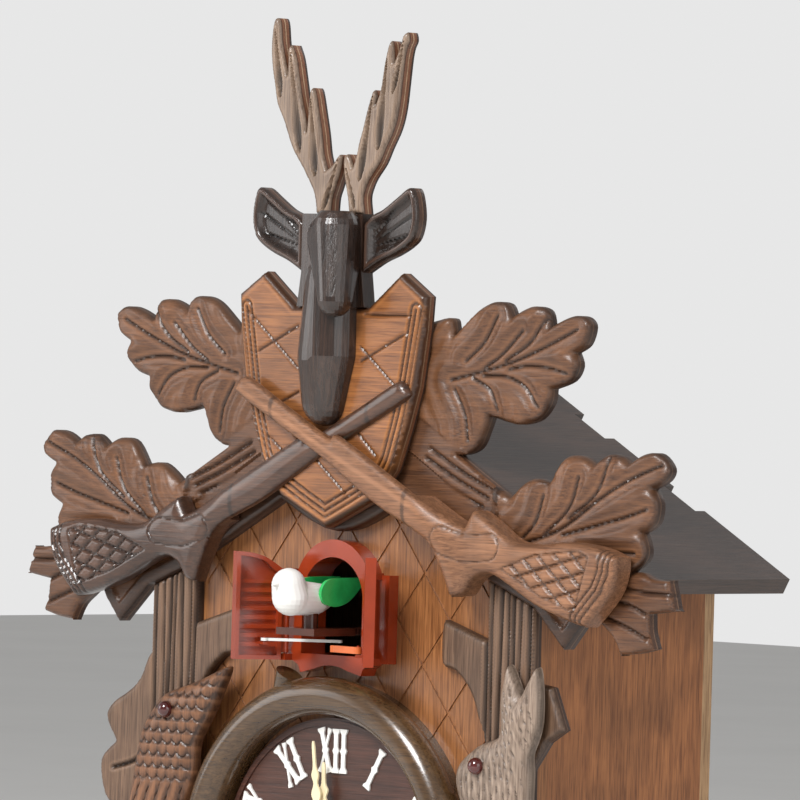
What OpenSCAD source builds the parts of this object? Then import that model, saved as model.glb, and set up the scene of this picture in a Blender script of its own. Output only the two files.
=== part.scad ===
// Hunting-style quartz cuckoo clock, in millimetres.
// The origin is the centre of the wall hanger's hole, on the flat back of the case.
// +X is the viewer's right, +Y runs into the wall, +Z is up, and the dial faces -Y.

/* [Case] */
// Width of the case over its side panels
case_w = 222; // [216:1:230]
// Depth of the case from the face of the front panel to the wall
case_depth = 108; // [104:1:116]
// Thickness of the front, side, back and bottom panels
panel_t = 6; // [5:0.5:7]
// Height of the case bottom below the hanger
case_drop = 251; // [248:1:258]
// Thickness of the two roof boards
roof_t = 7; // [6:0.5:8]

/* [Roof] */
// Height of the ridge above the hanger
ridge_z = 36; // [34:1:38]
// Fall of the roof per millimetre of width
roof_slope = 0.56; // [0.54:0.01:0.58]
// Half the width of the roof over its eaves
eave_x = 152; // [150:1:156]

/* [Carvings] */
// Thickness of the gable board with its leaves
crown_t = 8; // [7:0.5:9]
// Thickness of the shield, the ears and the antlers
shield_t = 7; // [6:0.5:8]
// Thickness of the carved side posts
post_t = 5; // [4:0.5:6]
// Thickness of the hare and the game bird
game_t = 7; // [6:0.5:8]
// Height of the right antler's tip above the hanger
antler_tip_z = 173.5; // [171:0.5:178]
// Extra length of the left antler's outer tine
antler_extra = 6; // [0:0.5:7]

/* [Dial] */
// Depth of the hands' axis below the hanger
dial_drop = 176; // [174:1:178]
// Radius of the dial
dial_r = 62.5; // [60:0.5:63]
// Middle radius of the horn that frames the dial
horn_mid_r = 72; // [71:0.5:73]
// Half the width of the horn's section
horn_r = 8; // [7:0.5:8]

/* [Cuckoo door] */
// Half the width of the door opening
door_half_w = 17.4; // [16:0.2:18]
// Height of the arch's centre, measured down from the hanger
arch_drop = 63.3; // [63:0.1:64]
// Height of the sill, measured down from the hanger
sill_drop = 87; // [86.5:0.5:87]
// Angle by which the left leaf stands open, in degrees
open_left = 115; // [110:1:118]
// Angle by which the right leaf stands open, in degrees
open_right = 134; // [130:1:136]

/* [Hidden] */

$fn = 64;
hull_fn = 24;
eps = 0.01;
fit = 0.3;

// Case levels along Y and Z
front_y = -case_depth;
inner_y = front_y + panel_t;
half_w = case_w / 2;
inner_x = half_w - panel_t;
floor_z = -case_drop;
floor_top = floor_z + panel_t;
roof_angle = atan(roof_slope);
roof_drop = roof_t / cos(roof_angle);

// Carving levels along Y
crown_y = front_y - crown_t;
shield_y = crown_y - shield_t;
barrel_t = 4;
post_y = front_y - post_t;
game_y = crown_y - game_t;
dial_z = -dial_drop;

// Colours
walnut = "#6b4226";
dark_walnut = "#33261f";
light_walnut = "#a06a3c";
veneer = "#9a5a2c";
antler_brown = "#8a6a4c";
plastic_red = "#8f2f1b";

// ---- Shape helpers -------------------------------------------------------

// Extrudes a shape drawn in X and Z from depth y0 to depth y1
module plate(y0, y1) {
    translate([0, y1, 0])
        rotate([90, 0, 0])
            linear_extrude(y1 - y0)
                children();
}

// A round bar along Y
module rod_y(r, y0, y1) {
    translate([0, y1, 0])
        rotate([90, 0, 0])
            cylinder(r = r, h = y1 - y0);
}

// A box between two corners
module block(a, b) {
    translate(a)
        cube(b - a);
}

// Both a shape and its mirror image across the middle of the clock
module pair_x() {
    children();
    mirror([1, 0, 0])
        children();
}

// One point of a smooth curve through p1 and p2
function curve_point(p0, p1, p2, p3, t) =
    0.5 * (2 * p1 + (p2 - p0) * t + (2 * p0 - 5 * p1 + 4 * p2 - p3) * t * t
           + (3 * p1 - p0 - 3 * p2 + p3) * t * t * t);

// A closed smooth outline through the points; a point given twice makes a sharp corner
function smooth(pts, steps = 4) =
    let (n = len(pts))
    [for (i = [0 : n - 1])
        let (p0 = pts[(i + n - 1) % n], p1 = pts[i], p2 = pts[(i + 1) % n], p3 = pts[(i + 2) % n])
        if (p1 != p2)
            for (k = [0 : steps - 1]) curve_point(p0, p1, p2, p3, k / steps)];

// Points of an involute spur gear
function involute(base, a) =
    [base * (cos(a) + a * PI / 180 * sin(a)), base * (sin(a) - a * PI / 180 * cos(a))];
function turn(p, a) = [p[0] * cos(a) - p[1] * sin(a), p[0] * sin(a) + p[1] * cos(a)];
function flank_angle(base, r) = r <= base ? 0 : sqrt(pow(r / base, 2) - 1) * 180 / PI;

// A spur gear drawn flat, with a tooth centred on +X; slack thins each tooth
module gear(m, teeth, slack = 0.14) {
    pitch = m * teeth / 2;
    base = pitch * cos(20);
    tip = pitch + 0.6 * m;
    root = pitch - m;
    at_pitch = flank_angle(base, pitch);
    spread = involute(base, at_pitch);
    half = 90 / teeth + atan2(spread[1], spread[0]) - slack * m / pitch * 180 / PI / 2;
    tip_angle = flank_angle(base, tip);
    steps = 4;
    points = [for (i = [0 : teeth - 1])
        let (c = i * 360 / teeth)
        each concat(
            [turn([root, 0], c - half)],
            [for (k = [0 : steps]) turn(involute(base, tip_angle * k / steps), c - half)],
            [for (k = [steps : -1 : 0])
                let (p = involute(base, tip_angle * k / steps)) turn([p[0], -p[1]], c + half)],
            [turn([root, 0], c + half)])];
    polygon(points);
}

// The points of half an outline, mirrored across the middle and taken in reverse
function across(half) = [for (i = [len(half) - 1 : -1 : 0]) [-half[i][0], half[i][1]]];

// ---- Case ----------------------------------------------------------------

// Outline of the front and back panels, under the roof boards
module gable_outline() {
    under = ridge_z - roof_drop;
    polygon([
        [-half_w, floor_z],
        [half_w, floor_z],
        [half_w, under - roof_slope * half_w],
        [0, under],
        [-half_w, under - roof_slope * half_w]
    ]);
}

// Round-topped opening for the cuckoo, grown by extra all round
module arch(extra) {
    translate([0, -arch_drop])
        circle(r = door_half_w + extra);
    translate([-door_half_w - extra, -sill_drop - extra])
        square([2 * (door_half_w + extra), sill_drop - arch_drop + extra]);
}

// Shallow diamond lattice cut into the face of the front panel
module lattice() {
    pitch = 30;
    for (i = [-5 : 5], side = [-1, 1])
        translate([i * pitch, front_y, -70])
            rotate([0, side * 38, 0])
                block([-0.6, -1, -150], [0.6, 0.6, 150]);
}

sleeve_t = 1.8;
arbor_hole_r = 4.2;

module case_front() {
    color(light_walnut)
        difference() {
            plate(front_y, inner_y) gable_outline();
            plate(front_y - 1, inner_y + 1) arch(sleeve_t);
            translate([0, 0, dial_z]) rod_y(arbor_hole_r, front_y - 1, inner_y + 1);
            intersection() {
                lattice();
                block([-82, front_y - 1, dial_z - 20], [82, front_y + 1, -6]);
            }
        }
}

// A side panel, with its top bevelled to the roof
module side_panel() {
    color(veneer)
        difference() {
            block([inner_x, inner_y, floor_z], [half_w, -panel_t, 0]);
            translate([0, -case_depth / 2, ridge_z - roof_drop])
                rotate([0, roof_angle, 0])
                    block([-10, -case_depth, 0], [300, case_depth, 200]);
        }
}
module case_side_right() {
    side_panel();
}
module case_side_left() {
    mirror([1, 0, 0]) side_panel();
}

pivot_y = -70;
pivot_z = -128;
slot_half = 14;
speaker_at = [-56, -54];
speaker_r = 26;
switch_at = [62, -54];
switch_travel = 4;

module case_bottom() {
    color(walnut)
        difference() {
            block([-inner_x, inner_y, floor_z], [inner_x, -panel_t, floor_top]);
            block([-slot_half, pivot_y - 4, floor_z - 1], [slot_half, pivot_y + 4, floor_top + 1]);
            translate([speaker_at[0], speaker_at[1], floor_z - 1]) {
                cylinder(r = 2, h = panel_t + 2);
                for (ring = [1, 2], k = [0 : 6 * ring - 1])
                    rotate(k * 60 / ring)
                        translate([ring * 8, 0, 0])
                            cylinder(r = 2, h = panel_t + 2);
            }
            translate([switch_at[0], switch_at[1], floor_z - 1])
                block([-2.4 - switch_travel, -2.4, 0], [2.4 + switch_travel, 2.4, panel_t + 2]);
        }
}

cover_half_w = 68;
cover_top = -87;
cover_low = -223;
cover_t = 3;
cover_lip = 8;
tab_x = [40, 92];
tab_w = 20;
tab_h = 3.5;
plate_w = 30;
plate_top = 10;
plate_low = -34;
plate_t = 2;
key_r = 4.5;
screw_r = 1.5;
screw_head_r = 3;
plate_screw_z = [-14, -27];

module back_board() {
    color(walnut)
        difference() {
            union() {
                plate(-panel_t, 0) gable_outline();
                for (x = tab_x, side = [-1, 1])
                    translate([side * x, 0, ridge_z - roof_drop - roof_slope * x])
                        rotate([0, side * roof_angle, 0])
                            block([-tab_w / 2, -panel_t, -6], [tab_w / 2, 0, tab_h]);
            }
            block([-cover_half_w, -cover_t, cover_low], [cover_half_w, 1, cover_top]);
            block([-cover_half_w + cover_lip, -panel_t - 1, cover_low + cover_lip],
                  [cover_half_w - cover_lip, 1, cover_top - cover_lip]);
            block([-plate_w / 2, -plate_t, plate_low], [plate_w / 2, 1, plate_top]);
            rod_y(8, -panel_t - 1, 1);
            screw_places() rod_y(screw_r + 0.1, -panel_t - 1, 0);
        }
}

// Places of the four cover screws and the two hanger screws
module screw_places() {
    for (x = [-1, 1], z = [cover_top - 4, cover_low + 4])
        translate([x * (cover_half_w - 4), 0, z])
            children();
    for (z = plate_screw_z)
        translate([0, 0, z])
            children();
}

cell_r = 7.25;
cell_len = 50.5;
cell_gap = 15;
battery_z = -176;
box_half_w = 28;
box_half_h = 24.5;
box_wall = 2;
bay_half_w = box_half_w - box_wall;
bay_half_h = box_half_h - box_wall;

module back_cover() {
    color(dark_walnut)
        difference() {
            block([-cover_half_w + fit, -cover_t, cover_low + fit], [cover_half_w - fit, 0, cover_top - fit]);
            block([-bay_half_w, -cover_t - 1, battery_z - bay_half_h],
                  [bay_half_w, 1, battery_z + bay_half_h]);
            screw_places() rod_y(screw_r + 0.1, -cover_t - 1, 1);
            screw_places() rod_y(screw_head_r + 0.1, -1.4, 1);
            for (k = [-3 : 3])
                block([k * 12 - 2, -cover_t - 1, -128], [k * 12 + 2, 1, -104]);
            for (side = [-1, 1])
                translate([side * bay_half_w, cover_axis[0], cover_axis[1]])
                    rotate([0, 90, 0])
                        cylinder(r = cover_pin_r + 0.05, h = 8, center = true);
        }
}

module screws() {
    color("silver")
        screw_places() {
            rod_y(screw_r, -panel_t - 4, -1.4);
            difference() {
                rod_y(screw_head_r, -1.4, -0.1);
                block([-2, -0.6, -0.4], [2, 1, 0.4]);
                block([-0.4, -0.6, -2], [0.4, 1, 2]);
            }
        }
}

// One roof board, lying on the front, sides and back; its tenon slots take the back board's tabs
module roof_board() {
    color(dark_walnut)
        difference() {
            intersection() {
                translate([0, 0, ridge_z])
                    rotate([0, roof_angle, 0])
                        block([-20, front_y, -roof_t], [eave_x / cos(roof_angle), 0, 0]);
                block([0, front_y - 1, -200], [300, 1, 100]);
            }
            for (x = tab_x)
                translate([x, 0, ridge_z - roof_drop - roof_slope * x])
                    rotate([0, roof_angle, 0])
                        block([-tab_w / 2, -panel_t, -1], [tab_w / 2, 1, roof_t + 1]);
        }
}
module roof_right() {
    roof_board();
}
module roof_left() {
    mirror([1, 0, 0]) roof_board();
}

module corner_blocks() {
    size = 12;
    color("tan")
        for (side = [-1, 1], z = [floor_top, -120])
            translate([side * (inner_x - size / 2), 0, z])
                block([-size / 2, inner_y, 0], [size / 2, inner_y + size, 30]);
}

// Steel plate let into the back, with a round hole and a slot that drops over a wall screw
module hanger_plate() {
    color("silver")
        difference() {
            block([-plate_w / 2 + fit, -plate_t, plate_low + fit], [plate_w / 2 - fit, 0, plate_top - fit]);
            rod_y(key_r, -plate_t - 1, 1);
            block([-2.2, -plate_t - 1, 0], [2.2, 1, 7]);
            screw_places() rod_y(screw_r + 0.1, -plate_t - 1, 1);
            screw_places() rod_y(screw_head_r + 0.1, -1.4, 1);
        }
}

// ---- Gable carving -------------------------------------------------------

// The saw's rounding where the carved outlines meet
soften = 0.05;

// Outline of the right upper oak leaf
module upper_leaf() {
    polygon(smooth([
        [50, 40], [50, 40], [62, 48], [68, 53], [77, 60], [84.5, 62.5], [91, 61.5], [94, 56.5], [94, 56.5],
        [100, 59.5], [106.5, 61], [113, 59], [115, 52.5], [115, 52.5], [123, 56], [129.5, 57.5], [134.5, 56.5],
        [137, 53], [134.5, 46], [128.5, 42.5], [128.5, 42.5], [130.5, 37], [126.5, 31], [116.5, 27.5],
        [116.5, 27.5], [115.5, 21.5], [109.5, 15], [100, 12.5], [92, 13.5], [83, 15.5], [83, 15.5],
        [80.5, 9.5], [76, 2], [66, -1], [50, 1], [50, 1]
    ]));
}

// Outline of the right lower oak leaf
module lower_leaf() {
    polygon(smooth([
        [91, -27.5], [93, -21], [99.5, -14.5], [108.5, -9.5], [117.5, -11], [117.5, -11], [125, -1],
        [133.5, 0.5], [141.5, -3], [141.5, -3], [148, 1.5], [155, 1], [160, -2], [160, -2],
        [167.5, 2], [175.5, 2.5], [181.5, -3], [179.5, -8], [172.5, -11.5], [172.5, -11.5], [176, -17.5],
        [174.5, -25.5], [168, -29.5], [168, -29.5], [170.5, -36], [169, -41], [162, -46], [150, -55],
        [130, -60], [110, -52], [96, -42]
    ]));
}

// Outline of the twig end below the right rifle butt
module twig_tail() {
    polygon(smooth([
        [150, -62], [150, -50], [158, -47], [167, -45.5], [175, -48], [183.5, -48.5], [184, -49],
        [187, -59.5], [187, -60], [173.5, -62], [173.5, -62], [174, -69], [176.5, -76], [176.5, -76],
        [168, -78], [159.5, -79], [159, -79], [155, -72.5], [148, -67], [140, -60]
    ]));
}

// Outline of the grooved twig bundle beside the shield
module twig_bundle() {
    polygon([[50, 4], [56, 3], [87, -13], [86, -19], [80, -22], [74, -28], [45, -14]]);
}

// Outline of the board behind the shield
module shield_backing() {
    polygon(smooth([
        [0, 50], [40, 52], [58, 55.5], [61.5, 52], [61.5, 44], [57, 26], [43.5, -12], [30, -24], [0, -35],
        [-30, -24], [-43.5, -12], [-57, 26], [-61.5, 44], [-61.5, 52], [-58, 55.5], [-40, 52]
    ]));
}

// Outline of the two barge boards, with their hooked lower ends
module barge_boards() {
    end_x = eave_x - 3;
    end_z = ridge_z - roof_slope * end_x;
    half = [[end_x, end_z], [end_x - 12, end_z - 21.5], [end_x - 20, end_z - 31], [112, -62], [88, -52.5], [40, -26]];
    polygon(concat([[0, ridge_z]], half, [[0, -3]], across(half)));
}

module gable_board() {
    color(walnut)
        plate(crown_y, front_y)
            offset(delta = soften) {
                pair_x() {
                    upper_leaf();
                    lower_leaf();
                    twig_tail();
                    twig_bundle();
                }
                barge_boards();
                shield_backing();
            }
}

module shield_outline() {
    half = [[21, 59], [39.5, 73.5], [54, 64], [53, 50], [49.5, 26.5], [44, 9], [37.5, -8.5], [27, -21]];
    polygon(concat(half, [[0, -33.5]], across(half)));
}

module shield() {
    color(light_walnut)
        plate(shield_y, crown_y) shield_outline();
}

// Outline of a rifle, muzzle up to the left and butt down to the right
module rifle_outline() {
    polygon(smooth([
        [-47, 21.5], [-47.5, 25], [-45, 28], [-40, 28], [-20, 17.5], [6, 4.5], [12, 5], [40, -9.5], [70, -25.5],
        [82, -30.5], [82, -30.5], [85.5, -24.5], [87.5, -23.5], [96, -28], [108, -35], [122, -36], [137, -34.5],
        [154, -36], [165.5, -39.5], [165.5, -39.5], [165, -47], [161, -56], [150, -67.5], [148, -68], [142, -67],
        [122, -61], [104, -52], [95, -49], [87, -51.5], [81.5, -58], [76, -59], [75, -58], [69.5, -46],
        [61, -35], [34, -22.5], [4.5, -5], [-25, 10]
    ]));
}

// The stock lies on the gable board, and the barrel crosses over the shield
module rifle(barrel_y, stock_y) {
    plate(barrel_y, barrel_y + barrel_t)
        intersection() {
            rifle_outline();
            translate([-100, -100]) square([175, 200]);
        }
    plate(stock_y, crown_y)
        intersection() {
            rifle_outline();
            translate([56, -100]) square([200, 200]);
        }
}

module rifle_front() {
    color(light_walnut)
        rifle(shield_y - 2 * barrel_t, shield_y - barrel_t - 0.5);
}

module rifle_rear() {
    color(dark_walnut)
        mirror([1, 0, 0])
            rifle(shield_y - barrel_t, shield_y - 2);
}

head_turn = 44;
skull = [4.6, crown_y - 9, 86];
neck_y = shield_y - 0.5;

// The stag's head and neck, with the flat backing that carries the ears and antlers
module stag_head() {
    color(dark_walnut) {
        plate(shield_y, crown_y)
            polygon([[-17.5, 98], [17.5, 98], [17.5, 73], [19, 62], [19.5, 59], [-19.5, 59], [-19, 62], [-17.5, 73]]);
        intersection() {
            block([-40, -200, -20], [60, shield_y, 99]);
            union() {
                translate(skull)
                    rotate([0, 0, head_turn])
                        hull() {
                            translate([0, 2, 2]) sphere(r = 12.5, $fn = hull_fn);
                            translate([0, -13, -24]) sphere(r = 7.4, $fn = hull_fn);
                            translate([0, -4, 6]) sphere(r = 10, $fn = hull_fn);
                        }
                hull() {
                    translate([3, neck_y, 70]) sphere(r = 12.5, $fn = hull_fn);
                    translate([3, neck_y, 40]) sphere(r = 12.8, $fn = hull_fn);
                    translate([0, neck_y, 38]) sphere(r = 12.8, $fn = hull_fn);
                    translate([0, neck_y, 19.5]) sphere(r = 10.5, $fn = hull_fn);
                }
            }
        }
    }
}

// The right antler
module antler_right() {
    color(antler_brown)
        plate(shield_y, crown_y)
            polygon(smooth([
                [8.5, 98], [8.5, 98], [17, 98], [17, 98], [16, 104.5], [17, 108.5], [19.5, 113], [24.5, 119],
                [28, 125.5], [32.5, 133.5], [35, 142], [36.5, 154], [37.5, 162.5], [38.5, 167],
                [40, antler_tip_z - 3.5], [39.5, antler_tip_z - 0.5], [38.5, antler_tip_z],
                [36.5, antler_tip_z - 1.5], [35.5, 168.5], [32, 161], [32, 161], [31, 168.5], [29.5, 170],
                [28, 166.5], [26.5, 160.5], [25.5, 154.5], [24.5, 149.5], [22, 143.5], [22, 143.5],
                [22.5, 147.5], [20.5, 149.5], [17.5, 142], [15, 133.5], [13, 127.5], [12, 123], [10, 117.5],
                [10, 117.5], [8.5, 121], [6.5, 123], [4.5, 121], [5, 115], [6.5, 108.5], [7.5, 104.5]
            ]));
}

// The left antler, whose tines are a little longer
module antler_left() {
    color(antler_brown)
        plate(shield_y, crown_y)
            mirror([1, 0])
                polygon(smooth([
                    [2.5, 98], [2.5, 98], [10.5, 98], [10.5, 98], [11, 102.5], [12.5, 107.5], [14.5, 110.5],
                    [19, 117], [25.5, 125.5], [31, 137], [35, 144], [37, 152.5], [38.5, 159],
                    [39.5, 167.5], [39, 176], [38, antler_tip_z + antler_extra],
                    [37, antler_tip_z + antler_extra + 1], [35.5, antler_tip_z + antler_extra + 0.5],
                    [34.5, 177], [33.5, 169.5], [31, 161], [29.5, 156.5], [29.5, 156.5], [29.5, 163],
                    [29.5, 167.5], [28, 169], [27, 167.5], [25, 163], [23, 154.5], [21, 146],
                    [18.5, 138], [17.5, 132.5], [17.5, 132.5], [17, 138], [16.5, 146], [15.5, 150.5],
                    [13.5, 149.5], [11, 140], [9, 131.5], [7.5, 123], [5, 116.5], [5, 116.5],
                    [1.5, 119], [-1.5, 122.5], [-3, 122.5], [-3.5, 121], [-2, 115], [0.5, 108.5], [2, 104.5]
                ]));
}

module ear() {
    color(dark_walnut)
        plate(shield_y, crown_y)
            polygon(smooth([
                [17.5, 94], [17.5, 94], [22, 97.5], [28, 100], [36, 105], [41.5, 108.5], [44.5, 108.5], [46.5, 104],
                [47.5, 96], [45.5, 88.5], [41, 84.5], [34, 81], [26, 78], [17.5, 73.5], [17.5, 73.5]
            ]));
}
module ear_right() {
    ear();
}
module ear_left() {
    mirror([1, 0, 0]) ear();
}

// ---- Side posts and game -------------------------------------------------

post_inner = 84;
stub_end = 60;
post_low = -244;

// Outline of the right post with its cut branch
module post_outline() {
    polygon(smooth([
        [post_inner, -50], [post_inner, -50], [post_inner, -77], [post_inner, -77], [stub_end, -69.5],
        [stub_end, -69.5], [stub_end - 1, -77], [stub_end, -88], [stub_end + 6.5, -90], [73, -95],
        [77.5, -101], [80.5, -109], [post_inner, -120], [post_inner, -160], [post_inner, post_low], [post_inner, post_low],
        [half_w, post_low], [half_w, post_low], [half_w, -61], [half_w, -61]
    ]));
}

// The post without what the gable board covers
module post_base() {
    difference() {
        post_outline();
        barge_boards();
        offset_leaf();
    }
}
module offset_leaf() {
    lower_leaf();
    twig_tail();
}

module post_right() {
    color(walnut)
        plate(post_y, front_y)
            union() {
                post_base();
                polygon([[110, -93], [121, -94.5], [128.5, -111.5], [119.5, -117], [110, -130]]);
                polygon([[110, -150], [126, -152], [131, -171], [113, -184], [110, -190]]);
            }
}

// Outline of the oak leaf on the left post
module post_leaf() {
    polygon(smooth([
        [100, -86], [111.5, -91.5], [115, -97.5], [119, -104], [125.5, -109], [134, -114], [137.5, -120.5],
        [131.5, -130.5], [131.5, -130.5], [139.5, -137.5], [140, -146], [136, -156], [127, -161], [127, -161], [133, -170], [130, -182], [122, -188],
        [122, -188], [124, -197], [119, -206], [108, -212], [100, -214]
    ]));
}

module post_left() {
    color(walnut)
        plate(post_y, front_y)
            mirror([1, 0, 0])
                union() {
                    post_base();
                    post_leaf();
                }
}

// The hanging game bird, with its beak up beside the horn
module game_bird_outline() {
    polygon(smooth([
        [-57.5, -96.5], [-61, -95.5], [-72, -100], [-83, -104], [-95, -108], [-103, -116], [-109, -126],
        [-113, -145], [-116, -165], [-114, -190], [-107, -212], [-99, -232], [-99, -232], [-92, -222],
        [-88, -226], [-88, -226], [-86, -208], [-86, -190], [-88, -172], [-86, -160], [-79, -150],
        [-75.5, -141], [-74.5, -128], [-66, -114]
    ]));
}

module game_bird() {
    color(light_walnut)
        plate(game_y, game_y + game_t)
            difference() {
                game_bird_outline();
                horn_clear();
            }
    color(light_walnut)
        plate(game_y + game_t, post_y)
            intersection() {
                game_bird_outline();
                post_backing();
            }
}

// The hare, upright with its ears against the post
module hare_outline() {
    polygon(smooth([
        [102, -87], [104.5, -87], [110.5, -98], [110.5, -98], [117, -87.5], [119.5, -87.5], [121, -98],
        [121, -108.5], [119, -116], [116.5, -122], [117, -130], [117, -145], [119, -160], [121, -180],
        [118, -205], [111, -226], [100, -236], [93, -226], [90, -205], [89, -185], [89, -170], [90, -158],
        [84, -152], [78, -143], [75.5, -134], [78, -127], [88, -119.5], [98.5, -115.5], [99.5, -108], [99, -101.5], [100, -95]
    ]));
}

module hare() {
    color(light_walnut)
        plate(game_y, game_y + game_t)
            difference() {
                hare_outline();
                horn_clear();
            }
    color(light_walnut)
        plate(game_y + game_t, post_y)
            intersection() {
                hare_outline();
                mirror([1, 0]) post_backing();
            }
}

// Keeps the game clear of the horn
module horn_clear() {
    translate([0, dial_z])
        circle(r = horn_mid_r + horn_r + 1.2);
}

// Zone where the game rests on a post
module post_backing() {
    translate([-half_w, -234]) square([half_w - post_inner - 3, 120]);
}

eye_bird = [-90.5, -114.5];
eye_hare = [90.5, -128];

module glass_eyes() {
    color("#2a0f08")
        for (e = [eye_bird, eye_hare])
            translate([e[0], game_y, e[1]])
                difference() {
                    sphere(r = 3.6);
                    block([-5, 0, -5], [5, 6, 5]);
                }
}

// ---- Dial and horn -------------------------------------------------------

horn_foot = 6;

// The horn's flared mouthpiece, above the ring on the left
module horn_mouth() {
    translate([-27.5, front_y - 10, -104.5])
        rotate([0, 31, 0])
            cylinder(r1 = 3.4, r2 = 6, h = 10);
}

module horn_ring() {
    seat = 10;
    color("#4d3319") horn_mouth();
    color("#4d3319")
        translate([0, 0, dial_z]) {
            translate([0, front_y, 0])
                rotate([90, 0, 0])
                    rotate_extrude($fn = 128)
                        translate([horn_mid_r, 0])
                            difference() {
                                union() {
                                    translate([0, seat]) circle(r = horn_r);
                                    translate([-horn_foot, 0]) square([2 * horn_foot, seat]);
                                }
                                translate([-20, -20]) square([40, 20]);
                            }
            // Collar where the bell begins
            translate([0, front_y, 0])
                rotate([90, 0, 0])
                    rotate(20)
                        rotate_extrude(angle = 6, $fn = 128)
                            translate([horn_mid_r, 0])
                                intersection() {
                                    translate([0, seat]) circle(r = horn_r + 1);
                                    translate([-20, 0]) square([40, 40]);
                                }
        }
}

module base_carving() {
    leaf = [[20, -262, 13], [38, -254, 13], [56, -259, 12], [70, -251, 10], [30, -278, 13], [14, -292, 12],
            [46, -272, 11]];
    color(walnut)
        plate(post_y, front_y)
            difference() {
                union() {
                    pair_x() {
                        for (l = leaf)
                            translate([l[0], l[1]])
                                circle(r = l[2]);
                        polygon([[0, -250], [74, -244.5], [74, -258], [30, -285], [0, -300]]);
                    }
                    translate([0, -300]) circle(r = 11);
                }
                translate([-100, -244.3]) square([200, 60]);
                translate([0, dial_z]) circle(r = horn_mid_r + horn_r + 0.6);
            }
}

dial_t = 5;
dial_y = front_y - dial_t;
bushing_r = 4;
bushing_bore = 2.6;

module dial() {
    ring_in = dial_r - 3;
    color("#4a2a1c")
        translate([0, 0, dial_z])
            difference() {
                union() {
                    rod_y(dial_r, dial_y, front_y);
                    rod_y(dial_r - 1, dial_y - 0.8, dial_y);
                }
                rod_y(ring_in, dial_y - 2, dial_y);
                rod_y(bushing_r + 0.1, dial_y - 3, front_y + 1);
            }
}

numeral_in = 39.5;
numeral_h = 18.5;
stroke = 2.6;
numeral_t = 0.8;

// Strokes of each hour, read from left to right
hours = ["I", "II", "III", "IIII", "V", "VI", "VII", "VIII", "IX", "X", "XI", "XII"];
function advance(c) = c == "I" ? 4.4 : 8;
function width(s, n) = n == 0 ? 0 : width(s, n - 1) + advance(s[n - 1]);

// A stroke between two points, flared at both ends and swollen in the middle
module bar(a, b, w = stroke) {
    d = b - a;
    reach = norm(d);
    half = [[0, 0.78], [0.05, 0.78], [0.13, 0.42], [0.42, 0.4], [0.5, 0.7], [0.58, 0.4], [0.87, 0.42], [0.95, 0.78],
            [1, 0.78]];
    translate(a)
        rotate(atan2(d[1], d[0]))
            polygon(concat([for (p = half) [p[0] * reach, p[1] * w]],
                           [for (i = [len(half) - 1 : -1 : 0]) [half[i][0] * reach, -half[i][1] * w]]));
}

module letter(c) {
    h = numeral_h;
    if (c == "I") bar([2.2, 0], [2.2, h]);
    if (c == "V") {
        bar([1.4, h], [4.4, 0]);
        bar([6.8, h], [3.6, 0], 1.4);
    }
    if (c == "X") {
        bar([1.4, h], [6.8, 0]);
        bar([6.6, h], [1.4, 0], 1.4);
    }
}

module numerals() {
    color("white")
        translate([0, 0, dial_z])
            plate(dial_y - numeral_t, dial_y)
                for (k = [1 : 12])
                    rotate(-k * 30)
                        translate([-width(hours[k - 1], len(hours[k - 1])) / 2, numeral_in])
                            for (i = [0 : len(hours[k - 1]) - 1])
                                translate([width(hours[k - 1], i), 0])
                                    letter(hours[k - 1][i]);
}

// ---- Movement ------------------------------------------------------------

move_half = 28;
move_y0 = inner_y;
move_depth = 16;
move_y1 = move_y0 + move_depth;
wall = 1;
rear_t = 1.5;
pipe_r = 2.5;
pipe_bore = 1.3;
arbor_r = 1.25;
mesh_in = 0.625;
mesh_out = 0.6;
pinion_teeth = 12;
wheel_teeth = 36;
small_teeth = 10;
hour_teeth = 40;
gear_gap = mesh_in * (pinion_teeth + wheel_teeth) / 2;
motion_x = gear_gap;
hour_y = [move_y0 + 2.5, move_y0 + 4.5];
wheel_y = [move_y0 + 7, move_y0 + 9];
bushing_front = dial_y - 2.6;

module movement_case() {
    color("#222222")
        translate([0, 0, dial_z])
            difference() {
                union() {
                    block([-move_half, move_y0, -move_half], [move_half, move_y1, move_half]);
                    rod_y(bushing_r, bushing_front, move_y0);
                }
                block([-move_half + wall, move_y0 + rear_t, -move_half + wall],
                      [move_half - wall, move_y1 + 1, move_half - wall]);
                rod_y(bushing_bore, bushing_front - 1, move_y0 + 2);
                translate([motion_x, 0, 0]) rod_y(0.85, move_y0 + 0.5, move_y0 + 2);
            }
}

module movement_cover() {
    color("#444444")
        translate([0, 0, dial_z])
            difference() {
                union() {
                    block([-move_half, move_y1, -move_half], [move_half, move_y1 + rear_t, move_half]);
                    translate([motion_x, 0, 0]) rod_y(2.5, move_y1 - 3, move_y1);
                }
                rod_y(1.5, move_y1 - 1, move_y1 + rear_t + 1);
                translate([motion_x, 0, 0]) rod_y(0.85, move_y1 - 4, move_y1 + 0.5);
            }
}

module panel_nut() {
    color("goldenrod")
        translate([0, 0, dial_z])
            difference() {
                plate(dial_y - 2, dial_y) circle(r = 7.2, $fn = 6);
                rod_y(bushing_r + 0.02, dial_y - 3, dial_y + 1);
            }
}

hour_hand_y = bushing_front - 1.6;
minute_hand_y = hour_hand_y - 2;
hand_t = 0.8;
minute_lean = 7;
hour_lean = 2.5;

module minute_arbor() {
    color("silver")
        translate([0, 0, dial_z]) {
            rod_y(arbor_r, minute_hand_y - 2, move_y1 + rear_t + 5);
            plate(wheel_y[0], wheel_y[1])
                rotate(180 / pinion_teeth)
                    gear(mesh_in, pinion_teeth);
        }
}

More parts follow.
